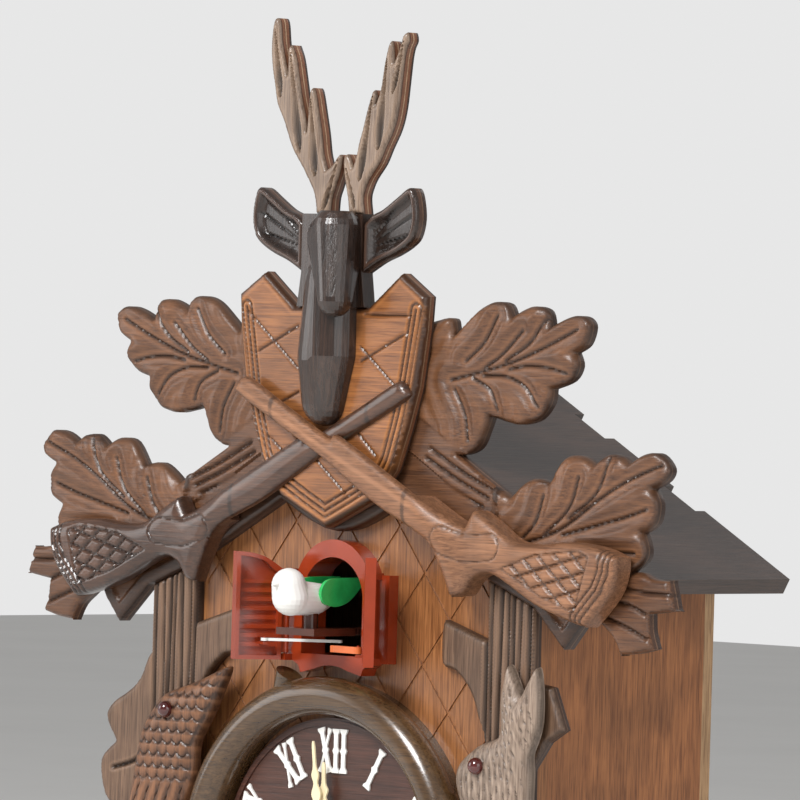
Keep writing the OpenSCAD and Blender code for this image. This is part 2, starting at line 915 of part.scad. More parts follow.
module motion_wheel() {
    color("ivory")
        translate([motion_x, 0, dial_z]) {
            rod_y(0.8, move_y0 + 0.7, move_y1 + 0.3);
            rod_y(1.6, move_y0 + 2, move_y1 - 3.3);
            plate(wheel_y[0], wheel_y[1]) rotate(180) gear(mesh_in, wheel_teeth);
            plate(hour_y[0] - 0.4, hour_y[1] + 0.4) rotate(180) gear(mesh_out, small_teeth);
        }
}

module hour_wheel() {
    color("ivory")
        translate([0, 0, dial_z])
            difference() {
                union() {
                    rod_y(pipe_r, hour_hand_y - 0.4, hour_y[1]);
                    plate(hour_y[0], hour_y[1])
                        rotate(180 / hour_teeth)
                            gear(mesh_out, hour_teeth);
                }
                rod_y(pipe_bore, hour_hand_y - 2, hour_y[1] + 1);
            }
}

module stepper_coil() {
    color("#b5651d")
        translate([-4, (move_y0 + move_y1) / 2, dial_z - 19])
            rotate([0, 90, 0]) {
                translate([0, 0, -13]) cylinder(r = 3.6, h = 26);
                translate([0, 0, -16]) cylinder(r = 1.5, h = 32);
            }
}

// A pierced, leaf-shaped hand pointing up, with its boss on the axis
// Half widths of the pierced hands, as shares of the width, along their length
hand_steps = [[0.16, 0], [0.18, 0.13], [0.36, 0.2], [0.17, 0.28], [0.5, 0.4], [0.2, 0.5], [0.38, 0.58], [0.15, 0.66],
              [0.28, 0.73], [0.12, 0.8], [0.1, 0.96]];

module hand(reach, w, bore) {
    difference() {
        union() {
            circle(r = bore + 2.2);
            polygon(smooth(concat(
                [for (q = hand_steps) [q[0] * w, q[1] * reach]],
                [[0, reach]],
                [for (i = [len(hand_steps) - 1 : -1 : 0]) [-hand_steps[i][0] * w, hand_steps[i][1] * reach]]
            )));
        }
        circle(r = bore);
        translate([0, reach * 0.41]) circle(r = w * 0.16);
    }
}

module minute_hand() {
    color("#f3e2b8")
        translate([0, 0, dial_z])
            plate(minute_hand_y, minute_hand_y + hand_t)
                rotate(minute_lean)
                    hand(53, 7, arbor_r);
}

module hour_hand() {
    color("#f3e2b8")
        translate([0, 0, dial_z])
            plate(hour_hand_y, hour_hand_y + hand_t)
                rotate(hour_lean)
                    hand(44, 9, pipe_r + eps);
}

module hand_nut() {
    color("goldenrod")
        translate([0, 0, dial_z])
            difference() {
                union() {
                    rod_y(2.8, minute_hand_y - 1.2, minute_hand_y);
                    rod_y(2, minute_hand_y - 2.4, minute_hand_y - 1.2);
                }
                rod_y(arbor_r, minute_hand_y - 2, minute_hand_y + 1);
            }
}

module setting_knob() {
    knob_y = move_y1 + rear_t + 1;
    ribs = 18;
    color("#222222")
        translate([0, 0, dial_z])
            difference() {
                rod_y(8, knob_y, knob_y + 5);
                rod_y(arbor_r, knob_y - 1, knob_y + 4);
                for (k = [0 : ribs - 1])
                    rotate([0, k * 360 / ribs, 0])
                        translate([8.4, 0, 0])
                            rod_y(0.7, knob_y - 1, knob_y + 6);
            }
}

// ---- Cuckoo door ---------------------------------------------------------

flange_y = front_y - 8.5;
shoulder_y = front_y - 5.5;
hinge_x = 24;
leaf_t = 4.5;
hinge_y = flange_y - 0.5 - leaf_t / 2;
leaf_low = -90;
hinge_low = -87;
hinge_top = -54.8;
knuckle_r = 1.4;
pin_r = 0.75;
pin_len = 2.6;
lug_gap = 0.4;
lug_t = 2.8;
running = 0.05;

// Outline of the frame's raised ring, with its two feet
module frame_outline() {
    half = [[22, -60.5], [22, -83], [25.4, -87.7], [22.9, -89.7], [18.7, -92.1], [17.6, -95], [16.3, -94.8],
            [9.9, -93.3], [5, -91.8]];
    translate([0, -60.5]) circle(r = 22);
    polygon(concat(half, [[0, -91.3]], across(half)));
}

module door_frame() {
    color(plastic_red)
        difference() {
            union() {
                plate(flange_y, front_y) frame_outline();
                block([-29.8, shoulder_y, -89.5], [29.8, front_y, -52.5]);
                plate(front_y, inner_y) arch(sleeve_t - 0.2);
                for (side = [-1, 1], z = [hinge_low - lug_gap - lug_t, hinge_top + lug_gap])
                    translate([side * hinge_x, 0, z])
                        block([-1.6, hinge_y - 1.6, 0], [1.6, shoulder_y + 1, lug_t]);
            }
            plate(flange_y - 1, inner_y + 1) arch(0);
            horn_mouth();
            for (side = [-1, 1])
                translate([side * hinge_x, hinge_y, leaf_low - 8])
                    cylinder(r = pin_r + running, h = 70);
        }
}

link_at = [11, 4.2];
link_pin_r = 0.6;
wire_z = -82;
wire_t = 1.2;
lever_z = -85;
lever_t = 2.8;
leaf_reach = hinge_x - 0.4;
leaf_skin = 1.3;

// Outline of a leaf between its hinge side and its meeting edge, smaller by rim all round
module leaf_outline(rim) {
    near = 2.8 + rim;
    far = leaf_reach - rim;
    polygon(smooth([
        [near, leaf_low + rim], [near, leaf_low + rim], [far, leaf_low + rim], [far, leaf_low + rim],
        [far, -44.6 - rim], [far, -44.6 - rim], [17, -45.1 - rim], [11, -46.7 - rim], [near + 3, -49.7 - rim],
        [near, -51.8 - rim], [near, -51.8 - rim]
    ]));
}

// A door leaf as it stands when shut, with its hinge pin on the Z axis and its meeting edge towards +X.
// The link's pin stands on a lug at height low.
module door_leaf(low, height) {
    face = -leaf_t / 2;
    back = leaf_t / 2;
    difference() {
        plate(face, back) leaf_outline(0);
        plate(face + leaf_skin, back + 1) leaf_outline(1.8);
    }
    // Slats on the inner side
    for (k = [0 : 7])
        block([3.8, face + 1, -58 - 3.8 * k], [leaf_reach - 1.6, face + leaf_skin + 1.1, -56.2 - 3.8 * k]);
    block([0.8, -1.2, hinge_low], [3.2, 1.2, hinge_top]);
    translate([0, 0, hinge_low]) cylinder(r = knuckle_r, h = hinge_top - hinge_low);
    translate([0, 0, hinge_low - pin_len]) cylinder(r = pin_r, h = hinge_top - hinge_low + 2 * pin_len);
    block([link_at[0] - 1.2, face + 1, low - 1.6], [link_at[0] + 1.2, link_at[1] + 1.2, low - 0.4]);
    translate([link_at[0], link_at[1], low - 0.4]) cylinder(r = link_pin_r, h = height + 1);
}

module door_left() {
    color(plastic_red)
        translate([-hinge_x, hinge_y, 0])
            rotate([0, 0, -open_left])
                door_leaf(wire_z, wire_t);
}

module door_right() {
    color(plastic_red)
        mirror([1, 0, 0])
            translate([-hinge_x, hinge_y, 0])
                rotate([0, 0, -open_right])
                    door_leaf(lever_z, lever_t);
}

wire_out = 40;
lever_out = 5;

// Link drawn from its eye towards +X, len long, half wide to each side and tall high
module link(len, half, low, tall) {
    translate([0, 0, low])
        difference() {
            union() {
                cylinder(r = 1.6, h = tall);
                block([0, -half, 0], [len, half, tall]);
                translate([len, 0, 0]) cylinder(r = half + 0.3, h = tall);
            }
            translate([0, 0, -1]) cylinder(r = link_pin_r + running, h = tall + 2);
        }
}

// Places a link's eye on the pin of a leaf that stands open by the given angle
module link_place(open, out) {
    translate([-hinge_x, hinge_y, 0])
        rotate([0, 0, -open])
            translate([link_at[0], link_at[1], 0])
                rotate([0, 0, open + out])
                    children();
}

module link_left() {
    color("white") link_place(open_left, wire_out) link(32, 0.5, wire_z, wire_t);
}
module link_right() {
    color("#c9622a") mirror([1, 0, 0]) link_place(open_right, lever_out) link(15.5, 1.1, lever_z, lever_t);
}

// ---- Cuckoo and its drive ------------------------------------------------

deck = [-78.5, -75.5];
deck_half = 11;
deck_y = [-138.5, -113.5];
arm_end = -54;
arm_half = 4;
rack_m = 0.6;
drive_teeth = 12;
drive_r = rack_m * drive_teeth / 2;
drive_y = -66;
drive_at = [arm_half + drive_r, drive_y];
rack_y = [-110, -60];
post_at = -129.2;
stem_r = 3.2;
stem_h = 6.5;

// Straight teeth along the arm, with a gap level with the pinion
module rack() {
    pitch = PI * rack_m;
    root = arm_half - rack_m;
    tip = arm_half + 0.6 * rack_m;
    half_root = pitch / 4 + rack_m * tan(20) - 0.05;
    half_tip = pitch / 4 - 0.6 * rack_m * tan(20) - 0.05;
    first = ceil((rack_y[0] - drive_y) / pitch);
    last = floor((rack_y[1] - drive_y) / pitch);
    for (k = [first : last])
        translate([0, drive_y + (k + 0.5) * pitch])
            polygon([[root - 0.2, -half_root], [root, -half_root], [tip, -half_tip], [tip, half_tip],
                     [root, half_root], [root - 0.2, half_root]]);
}

module carriage() {
    color("#e8e0d0")
        union() {
            block([-deck_half, deck_y[0], deck[0]], [deck_half, deck_y[1], deck[1]]);
            block([-arm_half, deck_y[1] - 1, deck[0]], [arm_half - rack_m, arm_end, deck[1]]);
            translate([0, 0, deck[0]]) linear_extrude(deck[1] - deck[0]) rack();
            translate([0, post_at, deck[1]]) cylinder(r = stem_r, h = stem_h);
        }
}

// Body, head, beak and tail of the cuckoo
module cuckoo_shape() {
    hull() {
        translate([0, -143, -57.6]) sphere(r = 7.2, $fn = hull_fn);
        translate([0, -141.6, -62.5]) sphere(r = 7.9, $fn = hull_fn);
    }
    hull() {
        translate([0, -139.5, -62.8]) sphere(r = 7.4, $fn = hull_fn);
        translate([0, -128, -63.4]) sphere(r = 6.8, $fn = hull_fn);
        translate([0, -119, -62]) sphere(r = 4.4, $fn = hull_fn);
        translate([0, -109.8, -61.4]) sphere(r = 1.2, $fn = hull_fn);
    }
    hull() {
        translate([0, -148.4, -56.6]) sphere(r = 1.9, $fn = hull_fn);
        translate([0, -152.6, -57.6]) sphere(r = 0.5, $fn = hull_fn);
    }
}

module cuckoo_body() {
    color("white")
        difference() {
            cuckoo_shape();
            translate([0, post_at, deck[1]]) cylinder(r = stem_r, h = stem_h);
        }
}

module cuckoo_wings() {
    color("#2fae58")
        difference() {
            for (side = [-1, 1])
                translate([side * 7.4, 0, 0])
                    rotate([90, 0, 90])
                        linear_extrude(1.6, center = true)
                            polygon(smooth([
                                [-131.8, -61], [-130, -56.8], [-126, -54.8], [-118, -54.3], [-104.8, -54.3],
                                [-104.8, -54.3], [-110, -60.5], [-116, -64.8], [-123, -66.4], [-129.5, -65]
                            ]));
            cuckoo_shape();
        }
}

guide_gap = 0.15;
bracket_z = [-93, -90];
bracket_y = [inner_y, -56];
guide_y = [-86, -58];
wall_y = -72.5;

// Bracket behind the front panel: it guides the arm and carries the motor and the pendulum
module mechanism_bracket() {
    color("#888888")
        difference() {
            union() {
                block([-24, bracket_y[0], bracket_z[0]], [24, bracket_y[1], bracket_z[1]]);
                block([-24, inner_y, bracket_z[0] - 18], [24, inner_y + 2.5, bracket_z[1]]);
                block([-arm_half, guide_y[0], bracket_z[1]], [arm_half, guide_y[1], deck[0] - guide_gap]);
                block([-arm_half - guide_gap - 3, wall_y, bracket_z[1]],
                      [-arm_half - guide_gap, guide_y[1], deck[1] + 1]);
                block([-16, -68, pivot_z - 6], [-10, -62, bracket_z[0]]);
                block([-16, -68, pivot_z - 6], [5, -62, pivot_z + 6]);
                translate([0, 0, pivot_z]) {
                    rod_y(1.2, pivot_y - 2.4, -68);
                    rod_y(2, pivot_y - 3.4, pivot_y - 2.4);
                }
            }
            translate([drive_at[0], drive_at[1], bracket_z[0] - 1])
                cylinder(r = 3.2, h = bracket_z[1] - bracket_z[0] + 2);
            translate([drive_at[0], drive_at[1], bracket_z[1]])
                cylinder(r = drive_r + 1, h = 20);
        }
}

motor_r = 10;
motor_h = 24;

module drive_motor() {
    color("#9a9a9a")
        translate([drive_at[0], drive_at[1], bracket_z[0] - motor_h])
            difference() {
                union() {
                    cylinder(r = motor_r, h = motor_h);
                    translate([0, 0, motor_h]) cylinder(r = 3, h = 2);
                    translate([0, 0, -2]) cylinder(r = 3, h = 2);
                }
                translate([0, 0, motor_h - 6]) cylinder(r = 1 + running, h = 10);
            }
}

module drive_pinion() {
    color("ivory")
        translate([drive_at[0], drive_at[1], 0]) {
            translate([0, 0, bracket_z[0] - 5]) cylinder(r = 1, h = deck[1] - bracket_z[0] + 5);
            translate([0, 0, deck[0] - 0.2])
                linear_extrude(deck[1] - deck[0] + 0.4)
                    gear(rack_m, drive_teeth);
        }
}

// ---- Power, sound and switch ---------------------------------------------

box_front = -22;
cell_y = box_front + box_wall + cell_r + 0.2;
cover_pin_r = 0.8;
cover_barrel_r = 1.4;
cover_axis = [-cover_t / 2, battery_z - bay_half_h + 1.8];

module battery_box() {
    color("#222222")
        difference() {
            block([-box_half_w, box_front, battery_z - box_half_h],
                  [box_half_w, -cover_t, battery_z + box_half_h]);
            block([-bay_half_w, box_front + box_wall, battery_z - bay_half_h],
                  [bay_half_w, 1, battery_z + bay_half_h]);
        }
}

module batteries() {
    color("#3a5a3a")
        for (k = [-1 : 1])
            translate([0, cell_y, battery_z + k * cell_gap])
                rotate([0, k == 0 ? -90 : 90, 0]) {
                    translate([0, 0, -cell_len / 2]) cylinder(r = cell_r, h = cell_len - 1);
                    translate([0, 0, cell_len / 2 - 1]) cylinder(r = 2.7, h = 1);
                }
}

module battery_cover() {
    half = bay_half_w - fit;
    top = battery_z + bay_half_h - fit;
    color("#222222") {
        difference() {
            block([-half, -2, cover_axis[1]], [half, -0.1, top]);
            block([-8, -0.7, top - 5], [8, 1, top - 3.5]);
        }
        translate([-half, cover_axis[0], cover_axis[1]])
            rotate([0, 90, 0])
                cylinder(r = cover_barrel_r, h = 2 * half);
        translate([-half - 3.2, cover_axis[0], cover_axis[1]])
            rotate([0, 90, 0])
                cylinder(r = cover_pin_r, h = 2 * half + 6.4);
    }
}

board_x = 96;

module circuit_board() {
    color("#2f5f2f") {
        block([board_x, -84, -214], [board_x + 1.6, -30, -150]);
        for (y = [-79, -35], z = [-209, -155])
            translate([board_x + 1.6, y, z])
                rotate([0, 90, 0])
                    cylinder(r = 2.5, h = inner_x - board_x - 1.6);
        block([board_x - 2, -66, -190], [board_x, -54, -178]);
        block([board_x - 3, -48, -176], [board_x, -40, -160]);
        for (z = [-204, -196])
            translate([board_x - 8, -74, z])
                rotate([0, 90, 0])
                    cylinder(r = 3, h = 8);
    }
}

module speaker_frame() {
    color("#333333")
        translate([speaker_at[0], speaker_at[1], floor_top]) {
            difference() {
                cylinder(r = speaker_r, h = 3);
                translate([0, 0, -1]) cylinder(r = speaker_r - 4, h = 5);
            }
            for (a = [0 : 90 : 270])
                rotate(a)
                    translate([0, 0, 3])
                        block([-3, speaker_r - 4, 0], [3, speaker_r - 2, 9]);
            translate([0, 0, 12]) cylinder(r = speaker_r - 2, h = 2);
            translate([0, 0, 14]) cylinder(r = 15, h = 8);
        }
}

module speaker_cone() {
    cone_r = speaker_r - 4.1;
    color("#111111")
        translate([speaker_at[0], speaker_at[1], floor_top + 2])
            rotate_extrude()
                polygon([[0, 8], [6, 8], [6, 10], [7.5, 10], [7.5, 7.4], [cone_r, 1], [cone_r, 0],
                         [cone_r - 0.8, 0], [6, 6.6], [0, 6.6]]);
}

module mode_switch() {
    knob = 2.2;
    color("#222222")
        translate([switch_at[0] - switch_travel, switch_at[1], 0]) {
            block([-knob, -knob, floor_z - 2.5], [knob, knob, floor_top + 1]);
            block([-5, -4, floor_top + 0.15], [5, 4, floor_top + 1.65]);
        }
}

// ---- Pendulum ------------------------------------------------------------

rod_low = -338;
rod_half = 1.5;
bob_z = -344;
bob_y = [pivot_y - 5, pivot_y - 1];

module pendulum_rod() {
    color("#2a2018")
        plate(pivot_y - 1, pivot_y + 1)
            difference() {
                union() {
                    translate([0, pivot_z]) circle(r = 3.6);
                    translate([-rod_half, rod_low]) square([2 * rod_half, pivot_z - rod_low]);
                }
                translate([0, pivot_z]) circle(r = 1.2 + running);
            }
}

module pendulum_bob() {
    lobes = [[0, -16, 15], [-17, -6, 12], [17, -6, 12], [-19, 10, 11], [19, 10, 11], [0, 12, 17], [0, 26, 8]];
    color(walnut)
        plate(bob_y[0], bob_y[1])
            translate([0, bob_z])
                for (l = lobes)
                    translate([l[0], l[1]])
                        circle(r = l[2]);
}

case_front();
case_side_left();
case_side_right();
case_bottom();
back_board();
back_cover();
roof_left();
roof_right();
corner_blocks();
hanger_plate();
screws();
gable_board();
shield();
rifle_front();
rifle_rear();
stag_head();
antler_left();
antler_right();
ear_left();
ear_right();
post_left();
post_right();
game_bird();
hare();
glass_eyes();
horn_ring();
base_carving();
dial();
numerals();
movement_case();
movement_cover();
panel_nut();
minute_arbor();
motion_wheel();
hour_wheel();
minute_hand();
hour_hand();
hand_nut();
setting_knob();
stepper_coil();
door_frame();
door_left();
door_right();
carriage();
cuckoo_body();
cuckoo_wings();
link_left();
link_right();
mechanism_bracket();
drive_motor();
drive_pinion();
battery_box();
batteries();
battery_cover();
circuit_board();
speaker_frame();
speaker_cone();
mode_switch();
pendulum_rod();
pendulum_bob();
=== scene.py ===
import math
import bmesh
import bpy
import numpy as np
from mathutils import Matrix, Vector
from mathutils.geometry import delaunay_2d_cdt


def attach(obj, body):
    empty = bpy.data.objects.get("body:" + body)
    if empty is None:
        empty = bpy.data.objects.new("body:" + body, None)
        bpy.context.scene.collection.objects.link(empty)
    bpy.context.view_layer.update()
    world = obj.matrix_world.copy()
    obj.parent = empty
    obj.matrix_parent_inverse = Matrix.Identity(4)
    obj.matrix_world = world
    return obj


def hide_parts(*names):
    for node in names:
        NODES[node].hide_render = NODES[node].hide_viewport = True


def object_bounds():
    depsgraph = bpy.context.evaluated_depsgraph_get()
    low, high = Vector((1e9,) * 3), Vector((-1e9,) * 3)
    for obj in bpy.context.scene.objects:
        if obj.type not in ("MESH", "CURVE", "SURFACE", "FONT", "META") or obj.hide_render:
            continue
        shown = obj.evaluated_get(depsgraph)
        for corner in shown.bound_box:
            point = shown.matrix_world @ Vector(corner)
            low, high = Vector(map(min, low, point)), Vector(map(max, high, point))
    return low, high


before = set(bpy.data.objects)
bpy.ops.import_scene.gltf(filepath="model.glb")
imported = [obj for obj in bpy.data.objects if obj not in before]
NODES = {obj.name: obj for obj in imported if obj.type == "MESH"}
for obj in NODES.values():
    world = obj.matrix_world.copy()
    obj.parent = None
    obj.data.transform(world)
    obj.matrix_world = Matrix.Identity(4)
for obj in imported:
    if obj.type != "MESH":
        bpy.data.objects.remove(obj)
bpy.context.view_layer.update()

MM = 0.001
# Depths in mm of the case's front panel and of the carved plates' front faces
CASE_FRONT = -108.0
POST_FRONT = -113.0
GABLE_FRONT = -116.0
SHIELD_FRONT = -123.0

# ---------------------------------------------------------------- materials


class Mat:
    """A node material with a few helpers for building procedural shaders."""

    def __init__(self, name, rough=0.5, coat=0.0, specular=0.5, metallic=0.0):
        self.m = bpy.data.materials.new(name)
        self.m.use_nodes = True
        self.t = self.m.node_tree
        self.b = self.t.nodes["Principled BSDF"]
        self.b.inputs["Roughness"].default_value = rough
        self.b.inputs["Coat Weight"].default_value = coat
        self.b.inputs["Coat Roughness"].default_value = 0.12
        self.b.inputs["Specular IOR Level"].default_value = specular
        self.b.inputs["Metallic"].default_value = metallic
        self.coord = self.t.nodes.new("ShaderNodeTexCoord").outputs["Object"]

    def link(self, a, b):
        self.t.links.new(a, b)

    def node(self, kind, **settings):
        n = self.t.nodes.new(kind)
        for k, v in settings.items():
            setattr(n, k, v)
        return n

    def mapped(self, scale, rotation=(0, 0, 0)):
        n = self.node("ShaderNodeMapping")
        n.inputs["Scale"].default_value = scale
        n.inputs["Rotation"].default_value = rotation
        self.link(self.coord, n.inputs["Vector"])
        return n.outputs["Vector"]

    def noise(self, vector, scale=1.0, detail=5.0, rough=0.6, distort=0.0):
        n = self.node("ShaderNodeTexNoise")
        n.inputs["Scale"].default_value = scale
        n.inputs["Detail"].default_value = detail
        n.inputs["Roughness"].default_value = rough
        n.inputs["Distortion"].default_value = distort
        self.link(vector, n.inputs["Vector"])
        return n.outputs["Fac"]

    def ramp(self, fac, stops, mode="LINEAR"):
        n = self.node("ShaderNodeValToRGB")
        n.color_ramp.interpolation = mode
        while len(n.color_ramp.elements) < len(stops):
            n.color_ramp.elements.new(0.5)
        for e, (pos, col) in zip(n.color_ramp.elements, stops):
            e.position = pos
            e.color = (*col, 1) if len(col) == 3 else col
        self.link(fac, n.inputs["Fac"])
        return n.outputs["Color"]

    def mix(self, fac, a, b, mode="MIX"):
        n = self.node("ShaderNodeMix", data_type="RGBA", blend_type=mode)
        for value, socket in ((fac, n.inputs[0]), (a, n.inputs[6]), (b, n.inputs[7])):
            if isinstance(value, (int, float)):
                socket.default_value = value
            elif isinstance(value, tuple):
                socket.default_value = (*value, 1)
            else:
                self.link(value, socket)
        return n.outputs[2]

    def math(self, op, a, b=0.5):
        n = self.node("ShaderNodeMath", operation=op)
        for value, socket in ((a, n.inputs[0]), (b, n.inputs[1])):
            if isinstance(value, (int, float)):
                socket.default_value = value
            else:
                self.link(value, socket)
        return n.outputs[0]

    def attribute(self, name):
        return self.node("ShaderNodeAttribute", attribute_name=name).outputs["Fac"]

    def bump(self, height, strength, distance):
        n = self.node("ShaderNodeBump")
        n.inputs["Strength"].default_value = strength
        n.inputs["Distance"].default_value = distance
        self.link(height, n.inputs["Height"])
        self.link(n.outputs["Normal"], self.b.inputs["Normal"])

    def colour(self, socket):
        self.link(socket, self.b.inputs["Base Color"])


GRAIN = {"X": (26, 500, 700), "Y": (600, 30, 700), "Z": (700, 500, 26)}


def wood(name, dark, light, grain="X", rough=0.42, coat=0.0, figure=0.5, relief=0.25, carved=False,
         ply=None):
    """Stained wood with long streaks, fine pores and a slow drift of colour.
    carved adds painted shade in the cuts and painted highlights on the crests, ply adds the layers of a cut
    edge."""
    m = Mat(name, rough, coat)
    long = m.noise(m.mapped(GRAIN[grain]), 1.0, 6, 0.62, 0.8)
    pores = m.noise(m.mapped(tuple(2.6 * s for s in GRAIN[grain])), 1.0, 3, 0.5)
    drift = m.noise(m.mapped((28, 28, 28)), 1.0, 3, 0.5, 0.6)
    mid = tuple((a + b) / 2 for a, b in zip(dark, light))
    body = m.ramp(long, [(0.5 - figure / 2, dark), (0.5, mid), (0.5 + figure / 2, light)])
    fine = m.ramp(pores, [(0.36, (0.55, 0.5, 0.48)), (0.5, (1, 1, 1))])
    col = m.mix(0.8, body, fine, "MULTIPLY")
    slow = m.ramp(drift, [(0.35, (0.78, 0.76, 0.74)), (0.65, (1.12, 1.1, 1.08))])
    col = m.mix(1.0, col, slow, "MULTIPLY")
    if ply:
        # Layers of the edge, by depth between the front and back faces, shown on the cut sides only
        y0, y1, layers = ply
        sep = m.node("ShaderNodeSeparateXYZ")
        m.link(m.coord, sep.inputs[0])
        depth = m.node("ShaderNodeMapRange")
        depth.inputs["From Min"].default_value = y0 * MM
        depth.inputs["From Max"].default_value = y1 * MM
        m.link(sep.outputs["Y"], depth.inputs["Value"])
        edge = m.ramp(depth.outputs["Result"], layers, "CONSTANT")
        edge = m.mix(0.7, edge, fine, "MULTIPLY")
        col = m.mix(m.attribute("side"), col, edge)
    if carved:
        # Painted shade: darker where the shape marks cuts, hollows and rims
        col = m.mix(m.attribute("painted_shade"), col, tuple(0.22 * c for c in dark))
        # Painted highlight: paler on the crests of the carving
        col = m.mix(m.attribute("painted_highlight"), col, tuple(min(1.0, 1.5 * c) for c in light))
    m.colour(col)
    m.bump(m.math("ADD", long, pores), relief, 0.0004)
    return m.m


def plastic(name, colour, rough=0.35, coat=0.0, grain=1500, bump=0.08, spread=0.12):
    """Moulded plastic or paint: slight colour drift and a fine skin."""
    m = Mat(name, rough, coat)
    drift = m.noise(m.mapped((60, 60, 60)), 1.0, 4, 0.6)
    low = tuple(c * (1 - spread) for c in colour)
    high = tuple(min(1, c * (1 + spread)) for c in colour)
    m.colour(m.ramp(drift, [(0.35, low), (0.65, high)]))
    m.bump(m.noise(m.mapped((grain, grain, grain)), 1.0, 3, 0.5), bump, 0.0002)
    return m.m


def metal(name, colour, rough=0.3, brush=(60, 60, 3000)):
    """Plated or turned metal with brushing and faint tarnish."""
    m = Mat(name, rough, 0.0, 0.5, 1.0)
    lines = m.noise(m.mapped(brush), 1.0, 4, 0.6)
    stain = m.noise(m.mapped((90, 90, 90)), 1.0, 5, 0.65)
    col = m.mix(0.5, m.ramp(lines, [(0.3, tuple(0.75 * c for c in colour)), (0.7, colour)]),
                m.ramp(stain, [(0.35, tuple(0.6 * c for c in colour)), (0.6, colour)]))
    m.colour(col)
    m.bump(lines, 0.12, 0.0001)
    return m.m


PLY_RED = [(0.0, (0.10, 0.035, 0.018)), (0.3, (0.24, 0.10, 0.05)), (0.52, (0.5, 0.33, 0.2)),
           (0.6, (0.22, 0.085, 0.04)), (0.84, (0.035, 0.018, 0.012))]
PLY_DARK = [(0.0, (0.03, 0.016, 0.01)), (0.35, (0.07, 0.032, 0.018)), (0.62, (0.15, 0.08, 0.045)),
            (0.7, (0.045, 0.022, 0.014))]

M = {
    "front": wood("front_veneer", (0.16, 0.055, 0.016), (0.42, 0.18, 0.065), "Z", 0.36, 0.15, 0.45, 0.2),
    "side": wood("side_veneer", (0.20, 0.07, 0.022), (0.42, 0.17, 0.06), "Z", 0.4, 0.1, 0.4, 0.2),
    "roof": wood("roof_board", (0.022, 0.012, 0.009), (0.06, 0.032, 0.021), "Y", 0.36, 0.2, 0.5, 0.3),
    "inner": wood("plain_board", (0.30, 0.17, 0.08), (0.55, 0.36, 0.2), "Z", 0.6, 0.0, 0.5, 0.3),
    "leaf": wood("leaf_carving", (0.05, 0.02, 0.010), (0.20, 0.085, 0.035), "X", 0.42, 0.12, 0.6, 0.3, True,
                 (GABLE_FRONT, CASE_FRONT, PLY_DARK)),
    "shield": wood("shield_board", (0.14, 0.045, 0.012), (0.38, 0.15, 0.045), "X", 0.36, 0.2, 0.5, 0.2, True,
                   (SHIELD_FRONT, GABLE_FRONT, PLY_RED)),
    "rifle_light": wood("rifle_pale", (0.12, 0.05, 0.022), (0.36, 0.17, 0.085), "X", 0.42, 0.1, 0.5, 0.2,
                        True),
    "rifle_dark": wood("rifle_stain", (0.03, 0.014, 0.009), (0.11, 0.05, 0.028), "X", 0.28, 0.4, 0.5, 0.2,
                       True),
    "stag": wood("stag_stain", (0.010, 0.006, 0.005), (0.05, 0.026, 0.017), "Z", 0.26, 0.45, 0.5, 0.3, True,
                 (SHIELD_FRONT, GABLE_FRONT, PLY_DARK)),
    "antler": wood("antler_face", (0.13, 0.085, 0.06), (0.30, 0.215, 0.155), "Z", 0.36, 0.15, 0.5, 0.2, True,
                   (SHIELD_FRONT, GABLE_FRONT, PLY_RED)),
    "post": wood("post_carving", (0.06, 0.03, 0.016), (0.22, 0.13, 0.08), "Z", 0.44, 0.1, 0.5, 0.3, True,
                 (POST_FRONT, CASE_FRONT, PLY_DARK)),
    "bird": wood("bird_carving", (0.05, 0.02, 0.01), (0.25, 0.11, 0.05), "Z", 0.42, 0.12, 0.5, 0.25, True),
    "hare": wood("hare_carving", (0.12, 0.08, 0.055), (0.42, 0.32, 0.25), "Z", 0.46, 0.08, 0.5, 0.25, True),
    "horn": wood("horn_wood", (0.03, 0.016, 0.007), (0.14, 0.075, 0.03), "X", 0.24, 0.5, 0.6, 0.15, True),
    "dial": wood("dial_board", (0.035, 0.013, 0.009), (0.10, 0.038, 0.024), "X", 0.34, 0.15, 0.5, 0.25),
    "rod": wood("pendulum_stick", (0.035, 0.016, 0.009), (0.12, 0.055, 0.03), "Z", 0.38, 0.15, 0.5, 0.2),
    "red": plastic("door_plastic", (0.30, 0.035, 0.008), 0.18, 0.5),
    "white": plastic("white_plastic", (0.80, 0.79, 0.76), 0.35, 0.05, 1200, 0.05, 0.04),
    "cream": plastic("hand_plastic", (0.80, 0.69, 0.45), 0.4, 0.0, 1400, 0.08, 0.05),
    "orange": plastic("lever_plastic", (0.60, 0.13, 0.03), 0.35, 0.1),
    "black": plastic("black_plastic", (0.018, 0.018, 0.02), 0.45, 0.0, 900, 0.2, 0.25),
    "grey": plastic("grey_plastic", (0.22, 0.22, 0.23), 0.45, 0.0, 900, 0.2, 0.15),
    "deck": plastic("carriage_plastic", (0.075, 0.02, 0.010), 0.25, 0.3),
    "green": plastic("wing_plastic", (0.025, 0.42, 0.10), 0.22, 0.3, 600, 0.1, 0.25),
    "board": plastic("board_lacquer", (0.03, 0.16, 0.06), 0.3, 0.2, 700, 0.15, 0.3),
    "cell": plastic("cell_sleeve", (0.07, 0.16, 0.08), 0.25, 0.2, 300, 0.05, 0.3),
    "paper": plastic("cone_paper", (0.03, 0.03, 0.032), 0.7, 0.0, 1600, 0.4, 0.3),
    "eye": plastic("eye_glass", (0.06, 0.004, 0.003), 0.05, 1.0, 300, 0.0, 0.5),
    "steel": metal("zinc_steel", (0.62, 0.62, 0.64), 0.32),
    "brass": metal("turned_brass", (0.75, 0.52, 0.2), 0.28),
    "copper": metal("coil_copper", (0.55, 0.24, 0.1), 0.35, (3000, 60, 60)),
}

